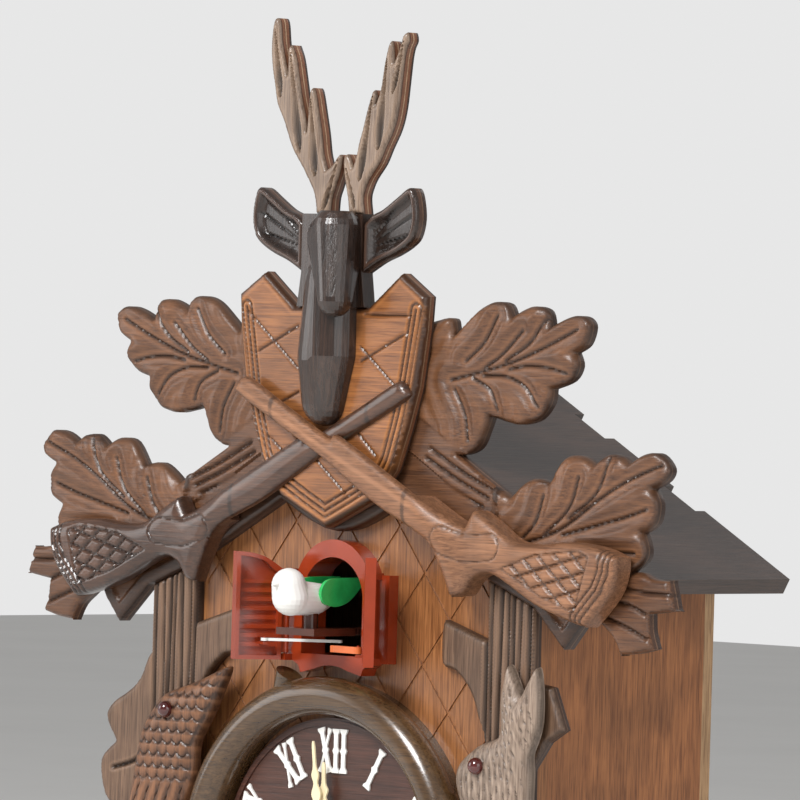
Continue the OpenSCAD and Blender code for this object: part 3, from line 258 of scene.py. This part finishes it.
PLAIN = {
    "case_front": "front", "case_side_left": "side", "case_side_right": "side", "case_bottom": "inner",
    "back_board": "inner", "back_cover": "black", "roof_left": "roof", "roof_right": "roof",
    "corner_blocks": "inner", "hanger_plate": "steel", "screws": "steel", "gable_board": "leaf",
    "shield": "shield", "rifle_front": "rifle_light", "rifle_rear": "rifle_dark", "stag_head": "stag",
    "antler_left": "antler", "antler_right": "antler", "ear_left": "stag", "ear_right": "stag",
    "post_left": "post", "post_right": "post", "game_bird": "bird", "hare": "hare", "glass_eyes": "eye",
    "horn_ring": "horn", "base_carving": "leaf", "dial": "dial", "numerals": "white",
    "movement_case": "black", "movement_cover": "grey", "panel_nut": "brass", "minute_arbor": "steel",
    "motion_wheel": "white", "hour_wheel": "white", "minute_hand": "cream", "hour_hand": "cream",
    "hand_nut": "brass", "setting_knob": "black", "stepper_coil": "copper", "door_frame": "red",
    "door_left": "red", "door_right": "red", "carriage": "deck", "cuckoo_body": "white",
    "cuckoo_wings": "green", "link_left": "white", "link_right": "orange", "mechanism_bracket": "grey",
    "drive_motor": "steel", "drive_pinion": "white", "battery_box": "black", "batteries": "cell",
    "battery_cover": "black", "circuit_board": "board", "speaker_frame": "grey", "speaker_cone": "paper",
    "mode_switch": "black", "pendulum_rod": "rod", "pendulum_bob": "leaf",
}
for name, key in PLAIN.items():
    NODES[name].data.materials.clear()
    NODES[name].data.materials.append(M[key])

# ---------------------------------------------------------------- carving tools


def zone(p, outline):
    """Signed distance in mm to a closed outline, positive inside it."""
    ring = np.array(list(outline) + [outline[0]], float)
    segs = np.hstack([ring[:-1], ring[1:]])
    d = to_segments(p, segs)
    return np.where(inside(p, segs), d, -d)


def smoothstep(a, b, x):
    t = np.clip((x - a) / (b - a), 0, 1)
    return t * t * (3 - 2 * t)


def to_segments(points, segs, block=4000):
    """Distance in mm from each point to the nearest of the segments (x0, z0, x1, z1)."""
    a, b = segs[:, :2], segs[:, 2:]
    ab = b - a
    ll = np.maximum((ab ** 2).sum(1), 1e-9)
    out = np.empty(len(points))
    for i in range(0, len(points), block):
        p = points[i:i + block, None, :]
        t = np.clip(((p - a) * ab).sum(2) / ll, 0, 1)
        out[i:i + block] = np.sqrt(((p - a - t[..., None] * ab) ** 2).sum(2).min(1))
    return out


def along(points, line):
    """Distance in mm from each point to a drawn line."""
    line = np.array(line, float)
    return to_segments(points, np.hstack([line[:-1], line[1:]]))


def curve(line, steps=6):
    """A smooth line through a few points."""
    p = [np.array(q, float) for q in line]
    p = [2 * p[0] - p[1]] + p + [2 * p[-1] - p[-2]]
    out = []
    for i in range(1, len(p) - 2):
        for t in np.arange(steps) / steps:
            out.append(0.5 * (2 * p[i] + (p[i + 1] - p[i - 1]) * t
                              + (2 * p[i - 1] - 5 * p[i] + 4 * p[i + 1] - p[i + 2]) * t ** 2
                              + (3 * p[i] - p[i - 1] - 3 * p[i + 1] + p[i + 2]) * t ** 3))
    return out + [p[-2]]


def inside(points, segs, block=4000):
    """Whether each point lies inside the outline, by crossings."""
    x0, z0, x1, z1 = segs.T
    res = np.zeros(len(points), bool)
    for i in range(0, len(points), block):
        px, pz = points[i:i + block, 0, None], points[i:i + block, 1, None]
        hit = (z0 > pz) != (z1 > pz)
        with np.errstate(divide="ignore", invalid="ignore"):
            xs = x0 + (pz - z0) * (x1 - x0) / (z1 - z0)
        res[i:i + block] = (hit & (px < xs)).sum(1) % 2 == 1
    return res


def front_loops(node, y_from, y_to):
    """Closed outlines, in mm in X and Z, of a CAD plate's faces that look forward between two depths."""
    me = NODES[node].data
    co = np.array([v.co for v in me.vertices]) / MM
    keys, index = {}, []
    for c in co:
        k = (round(c[0] * 50), round(c[2] * 50))
        index.append(keys.setdefault(k, len(keys)))
    pts = np.zeros((len(keys), 2))
    for c, k in zip(co, index):
        pts[k] = (c[0], c[2])
    count = {}
    for f in me.polygons:
        ys = co[list(f.vertices), 1]
        if f.normal.y > -0.99 or ys.min() < y_from - 0.05 or ys.max() > y_to + 0.05:
            continue
        vs = [index[v] for v in f.vertices]
        for a, b in zip(vs, vs[1:] + vs[:1]):
            if a != b:
                if (b, a) in count:
                    del count[(b, a)]
                else:
                    count[(a, b)] = True
    follow = {}
    for a, b in count:
        follow.setdefault(a, []).append(b)
    loops = []
    while follow:
        start = next(iter(follow))
        loop, at = [start], start
        while True:
            nxt = follow[at].pop()
            if not follow[at]:
                del follow[at]
            if nxt == start:
                break
            loop.append(nxt)
            at = nxt
            if at not in follow:
                break
        if len(loop) > 2:
            loops.append(pts[loop])
    return loops


def resample(loop, step):
    """The loop with its points kept and its long edges split."""
    out = []
    for a, b in zip(loop, np.roll(loop, -1, axis=0)):
        n = max(1, int(math.ceil(np.linalg.norm(b - a) / step)))
        if out and np.linalg.norm(a - out[-1]) < 0.12:
            continue
        for k in range(n):
            out.append(a + (b - a) * k / n)
    return np.array(out)


def carved(node, body, mat, step, front, back, shape, levels=None, slot=None):
    """A carved piece in the outline of a CAD plate. shape(P, D) gives the cut depth in mm, the painted shade
    and the painted highlight, at points P that lie D from the edge. front and back are depths or
    functions of P."""
    y_from, y_to = levels or (front, front)
    loops = [resample(l, step) for l in front_loops(node, y_from, y_to)]
    rim = np.vstack(loops)
    segs = np.vstack([np.hstack([l, np.roll(l, -1, axis=0)]) for l in loops])
    lo, hi = rim.min(0), rim.max(0)
    rows = int((hi[1] - lo[1]) / (step * 0.866)) + 1
    cols = int((hi[0] - lo[0]) / step) + 1
    gx, gz = np.meshgrid(np.arange(cols), np.arange(rows))
    grid = np.stack([lo[0] + (gx + 0.5 * (gz % 2)) * step, lo[1] + gz * step * 0.866], -1).reshape(-1, 2)
    grid = grid[inside(grid, segs)]
    d = to_segments(grid, segs)
    keep = d > 0.55 * step
    grid, d = grid[keep], d[keep]
    pts = np.vstack([rim, grid])
    dist = np.concatenate([np.zeros(len(rim)), d])
    edges, base, chains = [], 0, []
    for l in loops:
        ids = list(range(base, base + len(l)))
        edges += list(zip(ids, ids[1:] + ids[:1]))
        chains.append(ids)
        base += len(l)
    res = delaunay_2d_cdt([Vector(p) for p in pts], edges, [], 0, 1e-5)
    cdt = np.array([tuple(v) for v in res[0]])
    origin = np.array([o[0] if o else -1 for o in res[3]])
    extra = origin < 0
    dist_c = np.where(extra, 0.0, dist[np.maximum(origin, 0)])
    tris = np.array([f for f in res[2] if len(f) == 3])
    mid = cdt[tris].mean(1)
    tris = tris[inside(mid, segs)]
    depth, dark, painted_highlight = shape(cdt, dist_c)
    at_front = front(cdt) if callable(front) else np.full(len(cdt), float(front))
    at_back = back(cdt) if callable(back) else np.full(len(cdt), float(back))
    y = np.minimum(at_front + np.maximum(depth, 0), at_back - 0.3)
    n = len(cdt)
    verts = [(p[0] * MM, yy * MM, p[1] * MM) for p, yy in zip(cdt, y)]
    verts += [(p[0] * MM, yy * MM, p[1] * MM) for p, yy in zip(cdt, at_back)]
    a, b, c = cdt[tris[:, 0]], cdt[tris[:, 1]], cdt[tris[:, 2]]
    cross = (b - a)[:, 0] * (c - a)[:, 1] - (b - a)[:, 1] * (c - a)[:, 0]
    tris[cross < 0] = tris[cross < 0][:, ::-1]
    faces = [tuple(int(i) for i in t) for t in tris]
    used = {}
    for f in faces:
        for e in zip(f, f[1:] + f[:1]):
            if (e[1], e[0]) in used:
                del used[(e[1], e[0])]
            else:
                used[e] = True
    walls = [(int(q), int(p), int(p) + n, int(q) + n) for p, q in used]
    faces += [(f[0] + n, f[2] + n, f[1] + n) for f in faces]
    n_front = len(faces)
    faces += walls
    me = bpy.data.meshes.new(node + "_carved")
    me.from_pydata(verts, [], faces)
    me.update()
    me.shade_smooth()
    me.set_sharp_from_angle(angle=math.radians(48))
    # Painted shade and painted highlight, per point, for the wood shader; the back faces get none
    painted_shade_attr = me.attributes.new("painted_shade", "FLOAT", "POINT")
    painted_shade_attr.data.foreach_set("value", np.concatenate([np.clip(dark, 0, 1), np.zeros(n)]).astype(np.float32))
    painted_highlight_attr = me.attributes.new("painted_highlight", "FLOAT", "POINT")
    painted_highlight_attr.data.foreach_set("value", np.concatenate([np.clip(painted_highlight, 0, 1), np.zeros(n)]).astype(np.float32))
    side_attr = me.attributes.new("side", "FLOAT", "FACE")
    flags = np.zeros(len(faces), np.float32)
    flags[n_front:] = 1
    side_attr.data.foreach_set("value", flags)
    me.materials.append(mat)
    o = bpy.data.objects.new(node + "_carved", me)
    bpy.context.scene.collection.objects.link(o)
    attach(o, body)
    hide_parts(node)
    return o


def groove(d, width, cut):
    """A V cut, cut mm deep and width mm to each side of a line."""
    return cut * (1 - smoothstep(0, width, d))


def flip(p):
    """Points with the left half folded onto the right."""
    q = p.copy()
    q[:, 0] = np.abs(q[:, 0])
    return q


def dome(d, width, height):
    """Depth of a rounded edge: height mm at the rim, nothing beyond width mm."""
    t = np.clip(d / width, 0, 1)
    return height * (1 - np.sqrt(1 - (1 - t) ** 2))


def ripple(p, angle, pitch):
    """Parallel ridges, 0 in the cuts and 1 on the crests."""
    a = math.radians(angle)
    return np.abs(np.sin(math.pi * (p[:, 0] * math.cos(a) + p[:, 1] * math.sin(a)) / pitch))


# ---------------------------------------------------------------- gable carving

UPPER_VEINS = [
    [(131, 52), (115, 45), (96, 38), (78, 33.5), (62, 30)],
    [(113, 56), (105, 46), (92, 38.5)],
    [(101, 51), (90, 41), (80, 35)],
    [(87, 57), (80, 46), (70, 38)],
    [(125, 34), (115, 36), (104, 36.5), (94, 35)],
    [(110, 20), (103, 28), (92, 32), (80, 32)],
    [(88, 18), (84, 26), (74, 31)],
    [(72, 5), (70, 16), (64, 26)],
]
LOWER_VEINS = [
    [(178, -2), (160, -9), (145, -17), (124, -30), (101, -37)],
    [(150, 0), (144, -14), (129, -25)],
    [(134, -8), (129, -21), (116, -32)],
    [(115, -16), (111, -27), (103, -35)],
    [(171, -20), (158, -24), (146, -27), (126, -32)],
    [(165, -38), (152, -38), (136, -36)],
]
TWIG_LINES = [
    [(52, 1), (70, -8), (87, -15)], [(50, -3), (69, -12), (85, -18.5)], [(49, -7), (66, -16), (82, -22)],
    [(152, -50), (168, -53), (186, -54)], [(152, -57), (164, -59), (172, -62)],
    [(151, -64), (163, -68), (173, -72)],
]


def gable_shape(p, d):
    q = flip(p)
    x, z = q.T
    ridge = 36 - 0.56 * x
    low = np.interp(x, [0, 40, 88, 112, 129, 137, 149], [-3, -26, -52.5, -62, -78.4, -68.8, -47.4])
    twig = (((x > 146) & (z < -43) & (z > low - 60)) | ((x < 88) & (z > ridge - 14) & (z < ridge + 4)))
    leaf = (((z > ridge + 2) & (x > 44) & ~twig) | ((x > 138) & (z > -47))
            | ((x > 91) & (z > ridge - 12) & ~twig))
    board = ~leaf & ~twig
    veins = np.full(len(p), 99.0)
    for line in UPPER_VEINS + LOWER_VEINS:
        veins = np.minimum(veins, along(q, curve(line)))
    leaf_depth = 0.5 + dome(d, 7, 3.4) + 1.5 * np.exp(-(veins / 4.2) ** 2) + groove(veins, 0.9, 1.0)
    leaf_depth += 0.35 * np.sin(veins * 0.9) * smoothstep(2, 5, veins)
    twigs = np.full(len(p), 99.0)
    for line in TWIG_LINES:
        twigs = np.minimum(twigs, along(q, curve(line)))
    twig_depth = 1.0 + dome(d, 2.5, 2.0) + groove(twigs, 1.5, 1.6)
    panel = smoothstep(5.0, 6.2, np.minimum(d, np.minimum(ridge - z, 99)))
    board_depth = 0.6 + dome(d, 1.6, 1.2) + 1.4 * panel
    depth = np.where(leaf, leaf_depth, np.where(twig, twig_depth, board_depth))
    # Painted shade: darker in the vein and twig cuts and along the rolled rims of the leaves
    dark = np.where(leaf, 0.9 * (1 - smoothstep(0.2, 1.1, veins)), 0)
    dark = np.maximum(dark, np.where(leaf, 0.75 * (1 - smoothstep(0, 2.2, d)), 0))
    dark = np.maximum(dark, np.where(twig, 0.8 * (1 - smoothstep(0.1, 1.2, twigs)), 0))
    # A darker band along the board's outline and the ridge, out to the step of the panel
    edge = 1 - smoothstep(4.4, 5.6, np.minimum(d, ridge - z))
    dark = np.maximum(dark, np.where(board, 0.72 * edge, 0))
    # Painted highlight: paler on the lips of the veins and on the lobes away from them
    lip = np.exp(-((veins - 1.7) / 0.7) ** 2)
    painted_highlight = np.where(leaf, 0.28 * lip * smoothstep(2, 5, d) + 0.18 * smoothstep(4, 9, veins), 0)
    return depth, dark, painted_highlight


SHIELD_BAND = [(0, -26.5), (18.5, -17.3), (32, -8.5), (38, 6), (42.5, 23), (49, 58.5)]
SHIELD_LATTICE = [
    [(-48, 56.5), (-17.6, 32.7)], [(-41, 40), (-18.3, 50.7)], [(44.6, 49), (18.5, 36.5)],
    [(18.3, 42.4), (40.4, 25)], [(-27.4, 18.3), (-17, 23)], [(11.3, 12.5), (28.3, -2.6)],
    [(-18.5, 5), (11.5, -18.8)], [(46, 56), (20, 56)], [(-34, 4), (-20, -6)],
]


def shield_shape(p, d):
    q = flip(p)
    band = along(q, curve(SHIELD_BAND))
    cuts = np.full(len(p), 99.0)
    for line in SHIELD_LATTICE:
        cuts = np.minimum(cuts, along(p, line))
    pair = np.minimum(band, np.abs(band - 2.6))
    depth = dome(d, 2.6, 2.6) + groove(pair, 0.9, 0.9) + groove(cuts, 0.8, 0.8)
    # Painted shade: darker in the paired grooves, the lattice cuts and along the rolled rim
    dark = np.maximum(0.95 * (1 - smoothstep(0.2, 0.9, pair)), 0.95 * (1 - smoothstep(0.2, 0.8, cuts)))
    dark = np.maximum(dark, 0.9 * (1 - smoothstep(1.2, 2.6, d)))
    # Painted highlight: paler on the ridge between the paired grooves and on the crest inside the rim
    painted_highlight = 0.3 * np.exp(-((pair - 1.3) / 0.5) ** 2) + 0.25 * np.exp(-((d - 3.2) / 0.6) ** 2)
    return depth, dark, painted_highlight


CHECKERED = [(104, -46.5), (122, -40), (146, -37.5), (152, -40), (145, -63), (126, -57)]
BUTT_END = [(165.5, -39.5), (165, -47), (161, -56), (150, -67.5)]


def rifle_shape(p, d, mirrored):
    q = p.copy()
    if mirrored:
        q[:, 0] = -q[:, 0]
    x = q[:, 0]
    axis = along(q, [(-47, 24.5), (8, -1.5), (75, -31)])
    barrel = 1 - smoothstep(56, 66, x)
    depth = barrel * dome(d, 5.4, 3.0) + (1 - barrel) * dome(d, 6.5, 4.2)
    # A checkered panel on the butt, and lines along the butt plate
    stock = 1 - barrel
    inner = zone(q, CHECKERED)
    panel = smoothstep(0.0, 0.8, inner)
    check = np.minimum(ripple(q, 105, 6.4), ripple(q, 49, 6.4))
    cut = 1 - smoothstep(0.04, 0.34, check)
    frame_line = np.abs(inner - 0.2)
    butt = along(q, BUTT_END)
    rings = np.minimum(np.minimum(np.abs(butt - 3.0), np.abs(butt - 5.4)), np.abs(butt - 8.0))
    depth += stock * (panel * 1.3 * (1 - smoothstep(0.0, 0.55, check)) + groove(rings, 0.8, 0.9))
    depth += stock * groove(frame_line, 0.7, 0.7)
    # Painted shade: darker in the checkered cuts, the rings of the butt, the panel's frame line and the lock
    # line
    dark = stock * np.maximum(0.85 * panel * cut, 0.85 * (1 - smoothstep(0.2, 0.8, rings)))
    dark = np.maximum(dark, 0.6 * stock * (1 - smoothstep(0.1, 0.7, frame_line)))
    lock = along(q, curve([(72, -36), (84, -39), (97, -38)]))
    depth += groove(np.abs(lock - 5.5), 0.6, 0.6) * stock
    dark = np.maximum(dark, 0.6 * stock * (1 - smoothstep(0.1, 0.6, np.abs(lock - 5.5))))
    # Darker bands across the barrel at x = -26 and 52, with no cut
    bands = np.minimum(np.abs(x + 26), np.abs(x - 52))
    dark = np.maximum(dark, barrel * 0.7 * (1 - smoothstep(0.8, 1.3, bands)))
    # Painted shade along the rolled rim
    dark = np.maximum(dark, 0.35 * (1 - smoothstep(0, 1.4, d)))
    # Painted highlight along the crest of the barrel and on the crests of the checkering
    painted_highlight = barrel * 0.3 * (1 - smoothstep(0.4, 1.6, axis)) + stock * panel * 0.22 * smoothstep(0.6, 1.0, check)
    return depth, dark, painted_highlight


# Dimples of the antlers from their low to their high end, with a half width
RIGHT_DIMPLES = [((32.5, 149), (37.5, 170), 1.7), ((24.5, 126), (28.5, 163), 3.0),
                 ((14.5, 113), (20.5, 146), 2.8), ((12, 101), (6.5, 118), 1.5)]
LEFT_DIMPLES = [((33, 148), (37, 176), 2.6), ((21, 125), (27.5, 165), 3.2), ((11.5, 115), (15, 146), 3.0),
                ((6, 100), (-1.5, 120), 1.8)]


def antler_shape(p, d, mirrored):
    q = p.copy()
    if mirrored:
        q[:, 0] = -q[:, 0]
    depth = dome(d, 2.2, 1.6)
    # Painted shade along the rolled rim, painted highlight on its crest
    dark = 0.35 * (1 - smoothstep(0, 0.9, d))
    painted_highlight = 0.15 * np.exp(-((d - 2.0) / 0.5) ** 2)
    for low, high, half in (LEFT_DIMPLES if mirrored else RIGHT_DIMPLES):
        low, high = np.array(low, float), np.array(high, float)
        way = high - low
        reach = np.linalg.norm(way)
        t = ((q - low) @ way) / reach ** 2
        off = np.abs((q[:, 0] - low[0]) * way[1] - (q[:, 1] - low[1]) * way[0]) / reach
        # Round at the bottom, running out to a point at the top
        wide = half * np.sqrt(np.clip(4 * (t + 0.04), 0, 1)) * np.clip(1.05 - t, 0, 1)
        cut = smoothstep(0.0, 0.55, 1 - off / np.maximum(wide, 1e-3)) * (wide > 0)
        depth += 2.0 * cut
        # Painted shade in the low ends of the dimples
        dark = np.maximum(dark, 0.95 * cut * (1 - smoothstep(0.15, 0.75, t)))
        # Painted highlight on the lips of the dimples
        painted_highlight = painted_highlight + 0.3 * np.exp(-((off - wide) / 0.35) ** 2) * (wide > 0)
    return depth, dark, painted_highlight


def ear_shape(p, d):
    q = flip(p)
    hollow = smoothstep(1.8, 5.0, d)
    root = np.array([15.0, 83.0])
    turn = np.arctan2(q[:, 1] - root[1], q[:, 0] - root[0])
    fan = np.abs(np.sin(turn * 13.0))
    lines = hollow * (1 - smoothstep(0.05, 0.35, fan))
    depth = dome(d, 1.8, 1.2) + 3.2 * hollow + 0.6 * lines
    # Painted shade in the hollow and its fan of lines, painted highlight on the crest of the rim
    dark = 0.9 * lines + 0.25 * hollow
    painted_highlight = 0.9 * np.exp(-((d - 1.6) / 0.6) ** 2)
    return depth, dark, painted_highlight


carved("gable_board", "case", M["leaf"], 1.0, GABLE_FRONT, CASE_FRONT, gable_shape, slot="leaf_wood")
carved("shield", "case", M["shield"], 0.8, SHIELD_FRONT, GABLE_FRONT, shield_shape, slot="shield_wood")
for name, mirrored in (("antler_left", True), ("antler_right", False)):
    carved(name, "case", M["antler"], 0.6, SHIELD_FRONT, GABLE_FRONT,
           lambda p, d, s=mirrored: antler_shape(p, d, s), slot="antler_wood")
for name in ("ear_left", "ear_right"):
    carved(name, "case", M["stag"], 0.7, SHIELD_FRONT, GABLE_FRONT, ear_shape, slot="stag_brown")


def rifle(node, mirrored, tip_y, stock_y, slot, mat):
    side = -1 if mirrored else 1
    barrel_back = tip_y + 4

    def front(p):
        x = side * p[:, 0]
        return tip_y + (stock_y - tip_y) * smoothstep(58, 88, x)

    def back(p):
        x = side * p[:, 0]
        return np.where(x < 56.2, barrel_back, GABLE_FRONT)

    carved(node, "case", mat, 0.8, front, back, lambda p, d: rifle_shape(p, d, mirrored),
           levels=(tip_y, stock_y), slot=slot)


rifle("rifle_front", False, -131.0, -127.5, "light_rifle_wood", M["rifle_light"])
rifle("rifle_rear", True, -127.0, -125.0, "dark_rifle_wood", M["rifle_dark"])

# ---------------------------------------------------------------- posts, game and base


def bark_shape(p, d):
    q = flip(p)
    x, z = q.T
    lines = np.full(len(p), 99.0)
    for k, at in enumerate((84.5, 88, 92.5, 96.5, 100, 103.5, 108)):
        lines = np.minimum(lines, np.abs(x - at - 0.5 * np.sin(z * 0.045 + 1.9 * k)) + 0.3 * (k % 2))
    stub = x < 82.5
    across = np.full(len(p), 99.0)
    for k in (-1, 0, 1):
        across = np.minimum(across, np.abs((z + 128 - 0.35 * (x - 76)) - 5.5 * k))
    lines = np.where(stub, across, lines)
    leaf = x > 112.5
    veins = np.minimum(along(q, curve([(111, -134), (121, -139), (132, -142)])),
                       along(q, curve([(112, -170), (121, -176), (130, -183)])))
    cuts = np.where(leaf, veins, lines)
    depth = dome(d, 2.6, 2.0) + groove(cuts, 1.5, 1.8)
    # Painted shade in the cuts and along the rolled rim, painted highlight on the crests beside the cuts
    dark = np.maximum(0.95 * (1 - smoothstep(0.25, 1.3, cuts)), 0.45 * (1 - smoothstep(0, 2, d)))
    painted_highlight = 0.35 * np.exp(-((cuts - 1.9) / 0.5) ** 2)
    return depth, dark, painted_highlight


BIRD_BEAK = [(-58, -98), (-67, -112), (-77, -128)]


def bird_shape(p, d):
    """Rows of scale feathers, long wing feathers and the line of the beak."""
    x, z = p.T
    row = np.floor(z / 5.2)
    u = (x / 5.6 + 0.5 * (row % 2)) % 1.0 - 0.5
    v = z / 5.2 - row
    scale = np.abs(v - 0.12 - 1.6 * u * u)
    wing = np.abs(np.sin(math.pi * (0.72 * x - 0.42 * z + 1.5 * np.sin(z * 0.08)) / 4.4))
    low = smoothstep(-150, -142, z)
    beak = along(p, BIRD_BEAK)
    depth = dome(d, 9, 5.6) + (1 - low) * 0.9 * (1 - smoothstep(0.0, 0.3, wing))
    depth += low * 0.8 * (1 - smoothstep(0.03, 0.16, scale)) * smoothstep(1.5, 3, d)
    # Painted shade in the wing and scale cuts and along the rolled rim
    dark = np.maximum((1 - low) * 0.85 * (1 - smoothstep(0.06, 0.36, wing)),
                      low * 0.8 * (1 - smoothstep(0.04, 0.2, scale)))
    dark = np.maximum(dark * smoothstep(0.5, 2.2, d), 0.5 * (1 - smoothstep(0, 1.6, d)))
    # A dark line along the beak
    dark = np.maximum(dark, 0.8 * (1 - smoothstep(0.2, 0.8, beak)))
    # Painted highlight on the crests of the feathers
    painted_highlight = 0.4 * smoothstep(0.72, 1, wing) * (1 - low) + 0.3 * low * smoothstep(0.3, 0.7, scale)
    return depth, dark, painted_highlight


def hare_shape(p, d):
    """Short strokes of fur that follow the body."""
    x, z = p.T
    bend = 0.9 * np.sin(z * 0.11 + x * 0.06)
    hair = np.abs(np.sin(math.pi * (x * 0.9 + z * 0.25 + 1.8 * bend) / 2.7))
    gate = 0.5 + 0.5 * np.sin(z * 0.85 + 2.4 * np.sin(x * 0.9))
    cut = (1 - smoothstep(0.05, 0.5, hair)) * smoothstep(0.15, 0.6, gate) * smoothstep(1.0, 3.5, d)
    depth = dome(d, 10, 5.8) + 0.7 * cut
    # Painted shade in the fur cuts and along the rolled rim, painted highlight on the crests of the fur
    dark = np.maximum(0.6 * cut, 0.6 * (1 - smoothstep(0, 1.8, d)))
    painted_highlight = 0.35 * smoothstep(0.7, 1, hair) * gate * smoothstep(3, 8, d)
    return depth, dark, painted_highlight


def base_shape(p, d):
    q = flip(p)
    veins = np.full(len(p), 99.0)
    for line in ([(0, -306), (0, -262)], [(6, -266), (22, -262), (44, -256), (72, -250)],
                 [(4, -284), (18, -278), (34, -272), (52, -266)], [(22, -262), (34, -268), (44, -278)],
                 [(4, -296), (12, -292), (20, -291)], [(38, -257), (40, -250)], [(54, -254), (60, -262)]):
        veins = np.minimum(veins, along(q, curve(line)))
    depth = 0.3 + dome(d, 6, 2.6) + 1.0 * np.exp(-(veins / 3.6) ** 2) + groove(veins, 0.9, 0.7)
    # Painted shade in the veins and along the rolled rim, painted highlight on the lobes away from the veins
    dark = np.maximum(0.9 * (1 - smoothstep(0.2, 1.1, veins)), 0.7 * (1 - smoothstep(0, 2, d)))
    return depth, dark, 0.25 * smoothstep(4, 8, veins)


def bob_shape(p, d):
    q = flip(p)
    veins = np.full(len(p), 99.0)
    for line in ([(0, -374), (0, -312)], [(1, -362), (10, -356), (24, -350)],
                 [(1, -346), (12, -340), (27, -334)], [(1, -332), (8, -326), (14, -322)]):
        veins = np.minimum(veins, along(q, curve(line)))
    depth = 0.2 + dome(d, 6, 2.0) + 0.8 * np.exp(-(veins / 3.6) ** 2) + groove(veins, 0.8, 0.6)
    # Painted shade in the veins and along the rolled rim, painted highlight on the lobes away from the veins
    dark = np.maximum(0.9 * (1 - smoothstep(0.2, 1.0, veins)), 0.7 * (1 - smoothstep(0, 1.8, d)))
    return depth, dark, 0.25 * smoothstep(4, 8, veins)


for name in ("post_left", "post_right"):
    carved(name, "case", M["post"], 0.9, POST_FRONT, CASE_FRONT, bark_shape, slot="post_wood")
carved("base_carving", "case", M["leaf"], 1.0, POST_FRONT, CASE_FRONT, base_shape, slot="leaf_wood")
carved("pendulum_bob", "pendulum", M["leaf"], 0.9, -75.0, -71.0, bob_shape, slot="leaf_wood")
carved("game_bird", "case", M["bird"], 0.7, SHIELD_FRONT, GABLE_FRONT, bird_shape, slot="game_wood")
carved("hare", "case", M["hare"], 0.7, SHIELD_FRONT, GABLE_FRONT, hare_shape, slot="game_wood")

# ---------------------------------------------------------------- stage

lo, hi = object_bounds()


def light(name, energy, size, place, target):
    data = bpy.data.lights.new(name, "AREA")
    data.energy = energy
    data.size = size
    o = bpy.data.objects.new(name, data)
    o.location = place
    o.rotation_euler = (Vector(target) - Vector(place)).to_track_quat("-Z", "Y").to_euler()
    bpy.context.scene.collection.objects.link(o)


centre = (lo + hi) / 2
light("key", 60, 0.8, (0.2, -2.0, 1.5), centre)
light("fill", 16, 1.8, (2.6, -1.0, 0.6), centre)
light("side", 12, 1.2, (-2.0, -1.6, 0.5), centre)
light("back", 10, 1.5, (0.6, 2.0, 1.4), centre)
world = bpy.data.worlds.new("studio")
world.use_nodes = True
world.node_tree.nodes["Background"].inputs["Color"].default_value = (1, 1, 1, 1)
world.node_tree.nodes["Background"].inputs["Strength"].default_value = 0.4
# The backdrop shows white and lights the clock less strongly than it shows
rays = world.node_tree.nodes.new("ShaderNodeLightPath")
backdrop = world.node_tree.nodes.new("ShaderNodeBackground")
backdrop.inputs["Strength"].default_value = 1.0
either = world.node_tree.nodes.new("ShaderNodeMixShader")
world.node_tree.links.new(rays.outputs["Is Camera Ray"], either.inputs[0])
world.node_tree.links.new(world.node_tree.nodes["Background"].outputs[0], either.inputs[1])
world.node_tree.links.new(backdrop.outputs[0], either.inputs[2])
world.node_tree.links.new(either.outputs[0], world.node_tree.nodes["World Output"].inputs["Surface"])
bpy.context.scene.world = world
bpy.context.scene.view_settings.view_transform = "Standard"

bm = bmesh.new()
bmesh.ops.create_grid(bm, x_segments=8, y_segments=8, size=6.0)
floor_mesh = bpy.data.meshes.new("floor")
bm.to_mesh(floor_mesh)
bm.free()
floor = bpy.data.objects.new("floor", floor_mesh)
floor.location = (0, 0, lo.z - 0.002)
floor_mat = Mat("floor_paint", 0.85)
floor_drift = floor_mat.noise(floor_mat.mapped((3, 3, 3)))
floor_mat.colour(floor_mat.ramp(floor_drift, [(0.3, (0.80, 0.79, 0.77)), (0.7, (0.84, 0.83, 0.81))]))
floor_mesh.materials.append(floor_mat.m)
bpy.context.scene.collection.objects.link(floor)

# Camera at the right front, level, long lens
CAM_PLACE = (2.010, -2.219, 0.034)
CAM_LENS = 312
YAW, PITCH, ROLL = math.radians(43.2), math.radians(-0.26), math.radians(1.66)
ahead = Vector((-math.sin(YAW) * math.cos(PITCH), math.cos(YAW) * math.cos(PITCH), math.sin(PITCH)))
level = Vector((math.cos(YAW), math.sin(YAW), 0))
above = level.cross(ahead)
right = math.cos(ROLL) * level + math.sin(ROLL) * above
up = -math.sin(ROLL) * level + math.cos(ROLL) * above
cam_data = bpy.data.cameras.new("camera")
cam_data.sensor_width = 36
cam_data.lens = CAM_LENS
cam = bpy.data.objects.new("camera", cam_data)
cam.matrix_world = Matrix.Translation(CAM_PLACE) @ Matrix((right, up, -ahead)).transposed().to_4x4()
bpy.context.scene.collection.objects.link(cam)
bpy.context.scene.camera = cam
